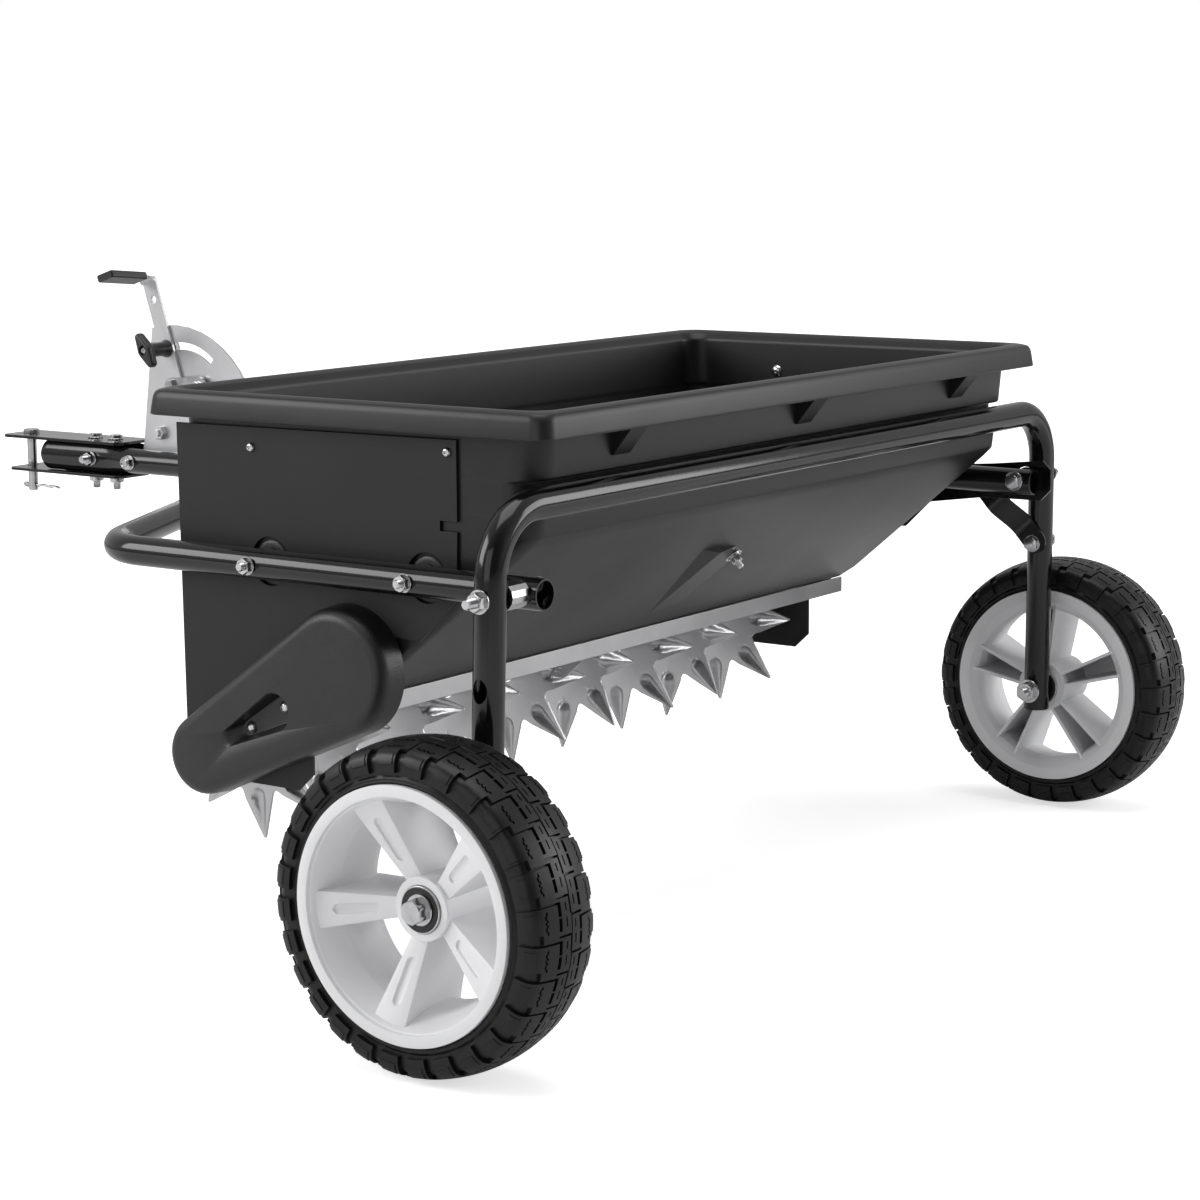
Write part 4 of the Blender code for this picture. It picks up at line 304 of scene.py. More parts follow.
def finish(name, dark, light, roughness, cloud, grain, relief, metallic=0.0, spread=0.06, spangle=0.0, specular=0.5):
    """A two-tone surface: cloudy colour, grainy gloss and relief, and metal crystals where spangle is set."""
    material = bpy.data.materials.new(name)
    material.use_nodes = True
    tree = material.node_tree
    link = tree.links.new
    shader = tree.nodes["Principled BSDF"].inputs
    shader["Metallic"].default_value = metallic
    shader["Specular IOR Level"].default_value = specular
    place = add_node(tree, "ShaderNodeTexCoord").outputs["Object"]

    def texture(kind, **values):
        made = add_node(tree, kind, **values)
        link(place, made.inputs["Vector"])
        return made.outputs

    share = texture("ShaderNodeTexNoise", Scale=cloud, Detail=5, Roughness=0.6)["Fac"]
    fine = texture("ShaderNodeTexNoise", Scale=grain, Detail=3, Roughness=0.55)["Fac"]
    if spangle:
        cells = texture("ShaderNodeTexVoronoi", Scale=150, Randomness=1)["Color"]
        share = add_mix(tree, share, cells, spangle)
    # Inputs 6 and 7 of a colour mix are its two colours, and output 2 is the mixed one.
    mixed = add_node(tree, "ShaderNodeMix")
    mixed.data_type = "RGBA"
    for i, level in ((6, dark), (7, light)):
        mixed.inputs[i].default_value = (level, level, level * BLUE_CAST, 1)
    link(add_range(tree, share, NOISE_RANGE).outputs["Result"], mixed.inputs[0])
    link(mixed.outputs[2], shader["Base Color"])
    gloss = add_range(tree, add_mix(tree, fine, share, 0.5), NOISE_RANGE, (roughness - spread, roughness + spread))
    link(gloss.outputs["Result"], shader["Roughness"])
    bump = add_node(tree, "ShaderNodeBump", Distance=relief * mm)
    link(fine, bump.inputs["Height"])
    link(bump.outputs["Normal"], shader["Normal"])
    return material


# The dark and the light grey, roughness, scale of the clouds and of the grain, and relief in millimetres
TUBE_PAINT = finish("tube_paint", 0.003, 0.006, 0.13, 14, 700, 0.012, spread=0.03, specular=0.45)
PLATE_PAINT = finish("plate_paint", 0.007, 0.011, 0.5, 9, 1100, 0.04, specular=0.35)
HOPPER_PLASTIC = finish("hopper_plastic", 0.006, 0.011, 0.38, 7, 1500, 0.035, specular=0.38)
COVER_PLASTIC = finish("cover_plastic", 0.006, 0.011, 0.42, 18, 650, 0.2, spread=0.07)
KNOB_PLASTIC = finish("knob_plastic", 0.007, 0.013, 0.38, 60, 1300, 0.06)
SEAL_RUBBER = finish("seal_rubber", 0.006, 0.01, 0.35, 90, 1200, 0.03)
GALVANISED = finish("galvanised_sheet", 0.46, 0.52, 0.35, 22, 900, 0.012, metallic=0.9, spread=0.05, spangle=0.06)
ZINC = finish("zinc_plate", 0.44, 0.62, 0.22, 120, 1600, 0.03, metallic=1.0, spread=0.07)
LEVER_ZINC = finish("lever_zinc", 0.57, 0.62, 0.34, 16, 1200, 0.015, metallic=0.8, spread=0.04)
STEEL = finish("bare_steel", 0.34, 0.48, 0.3, 150, 1500, 0.03, metallic=1.0)
WHEEL_PLASTIC = finish("wheel_plastic", 0.73, 0.79, 0.4, 12, 900, 0.05, spread=0.05)
RUBBER = finish("tyre_rubber", 0.004, 0.008, 0.36, 45, 1300, 0.06, spread=0.08, specular=0.3)


# Mesh helpers

def make_object(name, bm, material=None):
    """An object from a mesh that is drawn in axle coordinates."""
    bmesh.ops.translate(bm, verts=bm.verts, vec=(0, AXLE_Y, 0))
    bmesh.ops.recalc_face_normals(bm, faces=bm.faces)
    mesh = bpy.data.meshes.new(name)
    bm.to_mesh(mesh)
    bm.free()
    if material:
        mesh.materials.append(material)
    obj = bpy.data.objects.new(name, mesh)
    bpy.context.scene.collection.objects.link(obj)
    return obj


def skin(name, rings, material=None, closed=False):
    """An object skinned over a row of point rings. Open rows get a face at each end, closed rows join up."""
    bm = bmesh.new()
    loops = [[bm.verts.new(point) for point in ring] for ring in rings]
    pairs = list(zip(loops, loops[1:]))
    if closed:
        pairs.append((loops[-1], loops[0]))
    for lower, upper in pairs:
        count = len(lower)
        for i in range(count):
            j = (i + 1) % count
            bm.faces.new((lower[i], lower[j], upper[j], upper[i]))
    if not closed:
        bm.faces.new(loops[0][::-1])
        bm.faces.new(loops[-1])
    return make_object(name, bm, material)


def carve(obj, rings, operation="DIFFERENCE"):
    """Cuts the shape between the rings out of an object, or unites the two, and keeps the result as its mesh."""
    helper = skin("helper", rings)
    modifier = obj.modifiers.new("carve", "BOOLEAN")
    modifier.operation = operation
    modifier.object = helper
    graph = bpy.context.evaluated_depsgraph_get()
    mesh = bpy.data.meshes.new_from_object(obj.evaluated_get(graph))
    obj.modifiers.clear()
    obj.data = mesh
    bpy.data.objects.remove(helper)


def round_edges(obj, width, segments=2, angle=38):
    modifier = obj.modifiers.new("round_edges", "BEVEL")
    modifier.width = width
    modifier.segments = segments
    modifier.limit_method = "ANGLE"
    modifier.angle_limit = radians(angle)
    modifier.harden_normals = True


def fit(obj, node, stands_for=True, sharp=35):
    """Shades a piece, hangs it on the body of a CAD node and, if it stands for the node, hides that."""
    obj.data.shade_smooth()
    obj.data.set_sharp_from_angle(angle=radians(sharp))
    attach(obj, NODES[node]["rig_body"])
    if stands_for:
        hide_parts(node)


def dress(names, material, edge=0.0, segments=2):
    """Gives CAD nodes a finish and softens their edges."""
    for name in names:
        node = NODES[name]
        for slot in node.material_slots:
            slot.material = material
        if edge:
            weld = node.modifiers.new("weld", "WELD")
            weld.merge_threshold = 0.01 * mm
            round_edges(node, edge, segments)


def circle(centre, direction, radius, sides):
    """Points round a centre. radius is a length, or a function of the angle."""
    along = Vector(direction).normalized()
    helper = Vector((0, 0, 1)) if abs(along.z) < 0.9 else Vector((0, 1, 0))
    side = along.cross(helper).normalized()
    up = side.cross(along).normalized()
    points = []
    for i in range(sides):
        angle = 2 * pi * i / sides
        reach = radius(angle) if callable(radius) else radius
        points.append(Vector(centre) + reach * (cos(angle) * side + sin(angle) * up))
    return points


def stack(start, direction, sections, sides=32):
    """The rings of a body whose sections are (distance along, radius)."""
    along = Vector(direction).normalized()
    return [circle(Vector(start) + along * d, along, r, sides) for d, r in sections]


def turned(name, node, start, direction, profile, material=ZINC, sides=32):
    """A turned piece on the body of a CAD node, from its (distance along, radius) in millimetres."""
    fit(skin(name, stack(start, direction, scaled(*profile), sides), material), node, False)


def at_x(x, outline):
    """An outline of (Y, Z) points, placed at an X."""
    return [Vector((x, y, z)) for y, z in outline]


def soften(profile, reach, steps=3):
    """Replaces every corner of a closed run of equally long tuples by a short curve."""
    smooth = []
    for i, here in enumerate(profile):
        before = profile[i - 1]
        after = profile[(i + 1) % len(profile)]
        near = min(0.42, reach / max(dist(before, here), 1e-9))
        far = min(0.42, reach / max(dist(after, here), 1e-9))
        start = [h + (b - h) * near for h, b in zip(here, before)]
        end = [h + (a - h) * far for h, a in zip(here, after)]
        for k in range(steps + 1):
            t = k / steps
            smooth.append(tuple((1 - t) ** 2 * s + 2 * t * (1 - t) * h + t * t * e
                                for s, h, e in zip(start, here, end)))
    return smooth


def arc(centre, radius, start, end, steps):
    points = []
    for i in range(steps + 1):
        angle = start + (end - start) * i / steps
        points.append((centre[0] + radius * cos(angle), centre[1] + radius * sin(angle)))
    return points


def belt_outline(large, large_radius, small, small_radius, steps):
    """The outline of a belt round two circles in the YZ plane."""
    run = Vector(small) - Vector(large)
    heading = atan2(run.y, run.x)
    lean = acos((large_radius - small_radius) / run.length)
    points = arc(large, large_radius, heading + lean, heading + 2 * pi - lean, 2 * steps)
    points += arc(small, small_radius, heading - lean, heading + lean, steps)
    return points


def round_corners(corners, radius, steps):
    """A path of points through the corners, each of them rounded."""
    path = [Vector(corners[0])]
    for before, corner, after in zip(corners, corners[1:], corners[2:]):
        before, corner, after = Vector(before), Vector(corner), Vector(after)
        into = (corner - before).normalized()
        out = (after - corner).normalized()
        turn = into.angle(out)
        setback = radius * tan(turn / 2)
        centre = corner + (out - into).normalized() * radius / cos(turn / 2)
        first = (corner - into * setback - centre).normalized()
        last = (corner + out * setback - centre).normalized()
        path += [centre + first.slerp(last, i / steps) * radius for i in range(steps + 1)]
    path.append(Vector(corners[-1]))
    return path


def path_rings(path, reference, radius, factors=None):
    """Rings round a path. factors are the width and height at each point, as shares of the radius."""
    rings = []
    for i, point in enumerate(path):
        tangent = (path[min(i + 1, len(path) - 1)] - path[max(i - 1, 0)]).normalized()
        side = tangent.cross(Vector(reference)).normalized()
        up = side.cross(tangent).normalized()
        wide, high = factors[i] if factors else (1.0, 1.0)
        ring = []
        for k in range(TUBE_SIDES):
            angle = 2 * pi * (k + 0.5) / TUBE_SIDES
            ring.append(point + radius * (wide * cos(angle) * side + high * sin(angle) * up))
        rings.append(ring)
    return rings


# Fasteners

def hexagon(flats, limit):
    """Radius of a hexagon by angle, cut off where it would pass the limit."""
    return lambda angle: min(flats / 2 / cos((angle + pi / 6) % (pi / 3) - pi / 6), limit)


def hex_sections(start, height, flats, chamfer_first=False):
    """A hexagon block whose corners are turned off at one end."""
    corner = flats / 2 / cos(pi / 6)
    cut = 0.14 * height
    shape = [(0, corner), (height - cut, corner), (height - cut * 0.5, flats * 0.525), (height, flats * 0.485)]
    if chamfer_first:
        shape = [(height - d, r) for d, r in reversed(shape)]
    return [(start + d, hexagon(flats, r)) for d, r in shape]


def thread(start, length, radius, pitch):
    """Grooves round a bolt end, and a chamfer at its tip."""
    sections = []
    turns = max(1, int((length - 0.8 * mm) / pitch))
    for i in range(turns):
        sections += [(start + i * pitch, radius), (start + (i + 0.5) * pitch, radius * 0.9)]
    return sections + [(start + turns * pitch, radius), (start + length, radius * 0.82)]


def bolt(node, direction, *sizes):
    """A headed bolt with washers and its nut, seated where the CAD node has its head and nut.

    sizes are in millimetres: the node's radius, its length past the nut, the bolt's radius, the width across
    flats, the washer's radius and thickness, and how far the head stands out beyond the node."""
    cad_radius, tail, radius, flats, washer, plate, proud = (size * mm for size in sizes)
    low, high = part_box(node)
    along = Vector(direction)
    length = abs((high - low).dot(along))
    start = (low + high) / 2 - Vector((0, AXLE_Y, 0)) - along * length / 2
    head_seat = 1.1 * cad_radius
    nut_seat = length - tail - 1.6 * cad_radius
    nut_end = nut_seat + plate + 1.5 * radius
    edge = 0.25 * plate
    sections = hex_sections(-proud, head_seat + proud - plate, flats, chamfer_first=True)
    for seat in (head_seat - plate, nut_seat):
        sections += [(seat, washer - edge), (seat + edge, washer), (seat + plate - edge, washer),
                     (seat + plate, washer - edge)]
        if seat < nut_seat:
            sections += [(head_seat, radius), (nut_seat, radius)]
    sections += hex_sections(nut_seat + plate, 1.5 * radius, flats)
    sections += [(nut_end, radius * 1.1)] + thread(nut_end, length - nut_end, radius, 1.25 * mm)
    fit(skin(f"{node}_detail", stack(start, along, sections, 48), ZINC), node)


# Wheels

def crown_profile():
    """The tyre's outside from the middle of the tread to the sidewall, as (offset, radius)."""
    crown = [(x * mm, TYRE_RADIUS - CROWN_DROP * (x * mm / TREAD_SHOULDER) ** 2) for x in (0, 7, 14, 21, 28)]
    return crown + SHOULDER


CROWN = crown_profile()


def on_tyre(across, height):
    """The (offset, radius) at a distance across the tread and a height above it."""
    left = abs(across)
    for (x0, r0), (x1, r1) in zip(CROWN, CROWN[1:]):
        step = hypot(x1 - x0, r1 - r0)
        if left <= step or (x1, r1) == CROWN[-1]:
            break
        left -= step
    share = left / step
    x = x0 + (x1 - x0) * share - height * (r1 - r0) / step
    r = r0 + (r1 - r0) * share + height * (x1 - x0) / step
    return copysign(x, across), r


def tread_height(along, across):
    """The height over the crown of a place on the tread, in metres."""
    height = 0.0
    for along_from, along_to, across_from, across_to, form in TREAD_FORMS:
        if along_from <= along % 1 < along_to and across_from <= across < across_to:
            height = form
            if form < 0:
                break
    return height * mm


def wheel_ring(side, profile, angle):
    """A profile of (offset, radius) points, turned about the wheel's axis."""
    centre = Vector((side * WHEEL_X, 0, TYRE_RADIUS))
    return [centre + Vector((side * x, r * cos(angle), r * sin(angle))) for x, r in profile]


def wheel_rings(side, profile, segments):
    return [wheel_ring(side, profile, 2 * pi * i / segments) for i in range(segments)]


def build_tyre(label, side):
    # Places along one pitch and across one half, each with the side of the edge that it belongs to
    edges = sorted(ALONG_EDGES + tuple(e + 0.5 for e in ALONG_EDGES))
    along = [(e, way) for e in edges for way in (-1, 1)]
    across = [(e * mm, way) for e in ACROSS_EDGES for way in (-1, 1)] + [(e * mm, 0) for e in ACROSS_CURVE]
    across.sort(key=lambda entry: entry[0] + entry[1] * GROOVE_WALL)
    # The height is looked up a little beside the edge, as a share of a pitch and in millimetres.
    beside_along, beside_across = 0.002, 0.1

    def half(share, way):
        return [on_tyre(place + lean * GROOVE_WALL,
                        tread_height(share + way * beside_along, place / mm + lean * beside_across))
                for place, lean in across]

    rings = []
    for pitch in range(TREAD_PITCHES):
        for share, way in along:
            angle = 2 * pi * (pitch + share) / TREAD_PITCHES + way * GROOVE_WALL / TYRE_RADIUS
            far = half(share + 0.5, way)[1:] + BEAD[::-1]
            profile = BEAD + half(share, way)[::-1] + [(-x, r) for x, r in far]
            rings.append(wheel_ring(side, profile, angle))
    fit(skin(f"tyre_{label}_detail", rings, RUBBER, closed=True), f"tyre_{label}", sharp=28)


def on_spoke(side, angle, reach, across, offset):
    """A point by its distance from the wheel's axis, its place across the spoke, and its offset along the axis."""
    radial = Vector((0, cos(angle), sin(angle)))
    sideways = Vector((0, -sin(angle), cos(angle)))
    centre = Vector((side * WHEEL_X, 0, TYRE_RADIUS))
    return centre + radial * reach + sideways * across + Vector((side * offset, 0, 0))


def spoke_rings(side, angle):
    """Sections of a channel that opens towards the machine and widens towards the barrel."""
    soft = 0.8 * mm
    rings = []
    for reach, half, top, low in SPOKE_ENDS:
        inside, under = half - SPOKE_SKIN, top - SPOKE_SKIN
        section = [(-half, top - soft), (-half + soft * 0.3, top - soft * 0.3), (-half + soft, top),
                   (half - soft, top), (half - soft * 0.3, top - soft * 0.3), (half, top - soft),
                   (half, low), (inside, low), (inside, under), (-inside, under), (-inside, low), (-half, low)]
        rings.append([on_spoke(side, angle, reach, w, x) for w, x in section])
    return rings


def slot_rings(side, angle):
    """The cutter of the shallow round-ended recess along the middle of a spoke."""
    (near, _, near_top, _), (far, _, far_top, _) = SPOKE_ENDS
    start, end = SPOKE_SLOT
    rings = []
    for rise, half in scaled((1.5, 5), (0.2, 4.2), (-0.3, 3.9), (-1.87, 3.5), (-2.2, 3)):
        outline = arc((end - 4 * mm, 0), half, -pi / 2, pi / 2, 10)
        outline += arc((start + 4 * mm, 0), half, pi / 2, 3 * pi / 2, 10)
        rings.append([on_spoke(side, angle, u, w, rise + near_top + (u - near) * (far_top - near_top) / (far - near))
                      for u, w in outline])
    return rings


def build_rim(label, side):
    node = f"wheel_rim_{label}"
    face, edge = RIM_HALF_WIDTH / mm, RIM_RADIUS / mm
    seat = face - 5
    profile = scaled(
        (-seat, 90.5), (-15, 90.5), (-11, 86.5), (11, 86.5), (15, 90.5), (seat, 90.5), (seat, edge), (face, edge),
        (face, 88.8), (face - 3.2, 88.4), (face - 4, 87.2), (20, 82.6), (10, 79.2), (-8, 77), (-24, 76), (-33, 79),
        (1.5 - face, 85), (-face, 86.5), (-face, edge), (-seat, edge))
    rings = wheel_rings(side, soften(profile, 0.6 * mm, 2), 128)
    rim = skin(f"{node}_detail", rings, WHEEL_PLASTIC, closed=True)
    parts = [rim]
    for i in range(SPOKES):
        angle = SPOKE_PHASE[label] + 2 * pi * i / SPOKES
        spoke = skin("spoke", spoke_rings(side, angle), WHEEL_PLASTIC)
        carve(spoke, slot_rings(side, angle))
        parts.append(spoke)
    hub = [(HUB_FACE, HUB_RADIUS - 0.6 * mm), (HUB_FACE - 0.8 * mm, HUB_RADIUS), (-HUB_REACH, HUB_RADIUS + 0.8 * mm),
           (-HUB_REACH, BEARING_RADIUS), (HUB_FACE - 0.8 * mm, BEARING_RADIUS), (HUB_FACE, BEARING_RADIUS + 0.8 * mm)]
    parts.append(skin("hub", wheel_rings(side, hub, 64), WHEEL_PLASTIC, closed=True))
    with bpy.context.temp_override(active_object=rim, selected_editable_objects=parts, selected_objects=parts):
        bpy.ops.object.join()
    fit(rim, node, sharp=32)

    # The two bearings: a thin bright race round a black seal, just proud of the bush ends
    inner, outer = sorted((corner.x - side * WHEEL_X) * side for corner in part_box(f"hub_bush_{label}"))
    for name, end, way in (("outer", outer, 1), ("inner", inner, -1)):
        for kind, material, profile in (("race", ZINC, RACE), ("seal", SEAL_RUBBER, SEAL)):
            ring = soften([(end + way * x, r) for x, r in profile], 0.15 * mm, 2)
            piece = skin(f"bearing_{kind}_{name}_{label}", wheel_rings(side, ring, 64), material, closed=True)
            fit(piece, node, False)


# Tubes

def leg_x(z):
    return ARM_X + 2 * TUBE_RADIUS + SPACER_LENGTH + (LEG_BOLT_Z - z) * tan(LEG_SPLAY)


def leg_y(z):
    return LEG_Y + (LEG_BOLT_Z - z) * tan(LEG_LEAN)


def hollow_tube(path, reference):
    """A closed row of rings: the outside of a tube, then its inside on the way back, with eased ends."""
    lip = 0.4 * mm
    outer = path_rings(path, reference, TUBE_RADIUS)
    inner = path_rings(path, reference, TUBE_RADIUS - TUBE_WALL)
    for rings in (outer, inner):
        for end, next_ring in ((0, 1), (-1, -2)):
            centre = sum(rings[end], Vector()) / TUBE_SIDES
            way = (sum(rings[next_ring], Vector()) / TUBE_SIDES - centre).normalized()
            rings.insert(1 if end == 0 else len(rings) - 1, [p + way * lip for p in rings[end]])
            shrink = -lip if rings is outer else lip
            rings[end] = [p + (p - centre).normalized() * shrink for p in rings[end]]
    return outer + inner[::-1]


def oval(angle):
    """The free hole in the left leg is taller than it is wide."""
    wide, high = LEG_OVAL
    return wide * high / hypot(high * cos(angle), wide * sin(angle))


def build_wheel_frame():
    ends = (LEG_END_Z, CROSS_TUBE_Z)
    corners = [(-leg_x(z), leg_y(z), z) for z in ends] + [(leg_x(z), leg_y(z), z) for z in reversed(ends)]
    tube = skin("wheel_frame_detail", hollow_tube(round_corners(corners, LEG_BEND, 16), (0, 1, 0)), TUBE_PAINT, True)
    reach = 20 * mm
    for side, radius in ((-1, oval), (1, LEG_HOLE_RADIUS)):
        start = (side * (leg_x(LEG_HOLE_Z) - reach), leg_y(LEG_HOLE_Z), LEG_HOLE_Z)
        carve(tube, stack(start, (side, 0, 0), [(0, radius), (2 * reach, radius)], 24))
    round_edges(tube, 0.7 * mm, 2, 50)
    fit(tube, "wheel_frame_tube", sharp=50)


def build_arm(label, side):
    corners = [(side * ARM_X, ARM_REAR_Y, ARM_Z), (side * ARM_X, ARM_BEND_Y, ARM_Z),
               (side * DRAWBAR_X, DRAWBAR_BEND_Y, DRAWBAR_Z),
               (side * DRAWBAR_X, DRAWBAR_FRONT_Y - NOSE_ROUND - 10 * mm, DRAWBAR_Z)]
    bored = round_corners(corners, FRAME_BEND, 12)
    wide, tall = DRAWBAR_FLAT[0] / TUBE_RADIUS, DRAWBAR_FLAT[1] / TUBE_RADIUS
    # Distance from the front end, with the width and height factors there
    nose = []
    for i in range(11):
        share = 0.5 - 0.5 * cos(pi * i / 10)
        distance = NOSE_ROUND - (NOSE_ROUND - NOSE_FLAT) * i / 10
        nose.append((distance, 1 + (wide - 1) * share, 1 + (tall - 1) * share))
    nose += [(9 * mm, wide, tall), (5 * mm, wide, tall * 0.96), (2.5 * mm, wide, tall * 0.84),
             (0.8 * mm, wide * 0.97, tall * 0.66), (0, wide * 0.9, tall * 0.5)]
    path = bored + [Vector((side * DRAWBAR_X, DRAWBAR_FRONT_Y - d, DRAWBAR_Z)) for d, _, _ in nose]
    factors = [(1.0, 1.0)] * len(bored) + [(w, h) for _, w, h in nose]
    outer = path_rings(path, (0, 0, 1), TUBE_RADIUS, factors)
    inner = path_rings(bored, (0, 0, 1), TUBE_RADIUS - TUBE_WALL)
    tube = skin(f"frame_tube_{label}_detail", outer[::-1] + inner, TUBE_PAINT)
    fit(tube, f"frame_tube_{label}", sharp=50)


# Hopper

def slope(z, top_y, bottom_y):
    share = (SLOPE_TOP_Z - z) / (SLOPE_TOP_Z - HOPPER_BOTTOM_Z)
    return top_y + (bottom_y - top_y) * share


def slope_rear(z):
    return slope(z, HOPPER_REAR_Y + SLOPE_INSET, SLOT_REAR_Y)


def slope_front(z):
    return slope(z, HOPPER_FRONT_Y - SLOPE_INSET, SLOT_FRONT_Y)


def on_slope(x, z, out=0.0):
    """A point on the outside of the rear slope, or a distance out from it."""
    return Vector((x, slope_rear(z), z)) + SLOPE_OUT * out


def rounded_ring(half_x, rear, front, radius, z, steps=8):
    """A level rectangle with round corners."""
    ring = []
    for sx, sy, start in ((1, 1, 0), (-1, 1, 90), (-1, -1, 180), (1, -1, 270)):
        cx = sx * (half_x - radius)
        cy = (front - radius) if sy > 0 else (rear + radius)
        for i in range(steps + 1):
            angle = radians(start + 90 * i / steps)
            ring.append(Vector((cx + radius * cos(angle), cy + radius * sin(angle), z)))
    return ring


def build_hopper():
    rear, front, end, wall = HOPPER_REAR_Y, HOPPER_FRONT_Y, HOPPER_END, HOPPER_WALL
    corner, lip = HOPPER_CORNER, RIM_OVERHANG
    slant = wall / sin(atan2(SLOPE_TOP_Z - HOPPER_BOTTOM_Z, SLOPE_RUN))
    recess_top = CROSS_TUBE_Z + TUBE_RADIUS
    recess_bottom = CROSS_TUBE_Z - TUBE_RADIUS
    recess = RECESS_DEPTH / mm + 6
    inset = SLOPE_INSET / mm
    foot = HOPPER_BOTTOM_Z + 10 * mm
    inner_foot = HOPPER_BOTTOM_Z + 11 * mm

    def body(rear_in, front_in, corner_in, z, depth=0.0):
        """A station below the rim, set in by millimetres at the rear, the front and the corners."""
        return (end - depth, rear + rear_in * mm + depth, front - front_in * mm - depth, corner - corner_in * mm, z)

    # Half length, rear, front, corner radius and height, from the rim down the outside and up the inside
    stations = [(end + offset * mm, rear - offset * mm, front + offset * mm, radius * mm, RIM_TOP_Z - depth * mm)
                for offset, radius, depth in RIM]
    stations += [
        body(4.6, 2, 0, recess_top + 2 * mm),
        body(recess, 2, 5, recess_top),
        body(recess, 3, 5, recess_bottom),
        body(10, 3, 3, recess_bottom - 2 * mm),
        body(12, 4, 3, SLOPE_TOP_Z + 9 * mm),
        body(inset, inset, 5, SLOPE_TOP_Z),
        (end, slope_rear(foot), slope_front(foot), 10 * mm, foot),
        (SLOT_END + 3 * mm, SLOT_REAR_Y, SLOT_FRONT_Y, 8 * mm, HOPPER_BOTTOM_Z),
        (SLOT_END - 1 * mm, SLOT_REAR_Y + slant, SLOT_FRONT_Y - slant, 6 * mm, HOPPER_BOTTOM_Z),
        (end - wall, slope_rear(inner_foot) + slant, slope_front(inner_foot) - slant, 8 * mm, inner_foot),
        (end - wall, slope_rear(SLOPE_TOP_Z) + slant, slope_front(SLOPE_TOP_Z) - slant, corner - 8 * mm,
         SLOPE_TOP_Z + 1 * mm),
        body(12, 4, 6, SLOPE_TOP_Z + 10 * mm, wall),
        body(10, 3, 6, recess_bottom - 4 * mm, wall),
        body(recess, 3, 8, recess_bottom - 1 * mm, wall),
        body(recess, 2, 8, recess_top + 1 * mm, wall),
        body(4.6, 2, 3, recess_top + 4 * mm, wall)]
    rings = [rounded_ring(*station) for station in soften(stations, 2.2 * mm, 3)]
    fit(skin("hopper_detail", rings, HOPPER_PLASTIC, closed=True), "hopper_trough", sharp=55)

    # Three ribs brace the rim along the back.
    skirt = rear - lip + 1.5 * mm
    outline = ((skirt, RIM_BOTTOM_Z + 1.8 * mm), (skirt, RIM_TOP_Z - 9 * mm), (rear + 1.5 * mm, RIM_TOP_Z - 9 * mm),
               (rear + 4.6 * mm, RIM_BOTTOM_Z - 22 * mm), (rear + 1.6 * mm, RIM_BOTTOM_Z - 22 * mm))
    for i, x in enumerate(RIB_PLACES):
        rings = [at_x(x - 12 * mm, outline), at_x(x + 12 * mm, outline)]
        rib = skin(f"hopper_rib_{i + 1}", rings, HOPPER_PLASTIC)
        round_edges(rib, 0.8 * mm)
        fit(rib, "hopper_trough", False)

    # Bosses on the end walls reach from inside the wall almost to the arms.
    reach = (ARM_X - TUBE_RADIUS - HOPPER_END) / mm + 0.7
    profile = ((0, 17), (1.4, 17), (1.8, 16.4), (2, 12.8), (2.8, 11.9), (reach - 0.8, 11.6), (reach, 10.8))
    for label, side in SIDES:
        for i, y in enumerate((ARM_BOLT_REAR_Y, ARM_BOLT_FRONT_Y)):
            turned(f"hopper_boss_{label}_{i + 1}", "hopper_trough", (side * (HOPPER_END - 1 * mm), y, ARM_Z),
                   (side, 0, 0), profile, HOPPER_PLASTIC, 40)

    # The bolt through the rear slope
    point = on_slope(*SLOPE_BOLT)
    sections = scaled((0, 8.4), (0.2, 8.6), (1.2, 8.6), (1.4, 8.4), (1.4, 6.4), (3, 6.2))
    sections += hex_sections(3 * mm, 5 * mm, 10 * mm)
    sections += [(8 * mm, 3.3 * mm)] + thread(8 * mm, 6 * mm, 3 * mm, 1 * mm)
    fit(skin("slope_bolt_outside", stack(point, SLOPE_OUT, sections, 48), ZINC), "hopper_trough", False)
    turned("slope_bolt_inside", "hopper_trough", point - SLOPE_OUT * (HOPPER_WALL + 0.2 * mm), -SLOPE_OUT,
           ((0, 6), (1, 5.6), (2.4, 3)))


def build_hopper_details():
    # A low gusset on the rear slope: faces round its peak, and a back inside the wall
    bm = bmesh.new()
    peak, *tops = [bm.verts.new(on_slope(x * mm, z * mm, out * mm)) for x, z, out in (GUSSET_PEAK, *GUSSET)]
    backs = [bm.verts.new(on_slope(x * mm, z * mm, -1.5 * mm)) for x, z, _ in GUSSET]
    for i, top in enumerate(tops):
        j = (i + 1) % len(tops)
        bm.faces.new((peak, tops[j], top))
        bm.faces.new((top, tops[j], backs[j], backs[i]))
    bm.faces.new(backs)
    gusset = make_object("hopper_gusset", bm, HOPPER_PLASTIC)
    round_edges(gusset, 1.6 * mm, 3, 8)
    fit(gusset, "hopper_trough", False, 60)

    # Screws through the end walls
    for label, side in SIDES:
        turned(f"wall_screw_{label}", "hopper_trough", (side * (HOPPER_END - HOPPER_WALL + 0.5 * mm), *WALL_SCREW),
               (-side, 0, 0), ((0, 6), (1.2, 6), (2.8, 4.8), (3.7, 3), (3.9, 1.8), (2.9, 1.5)))


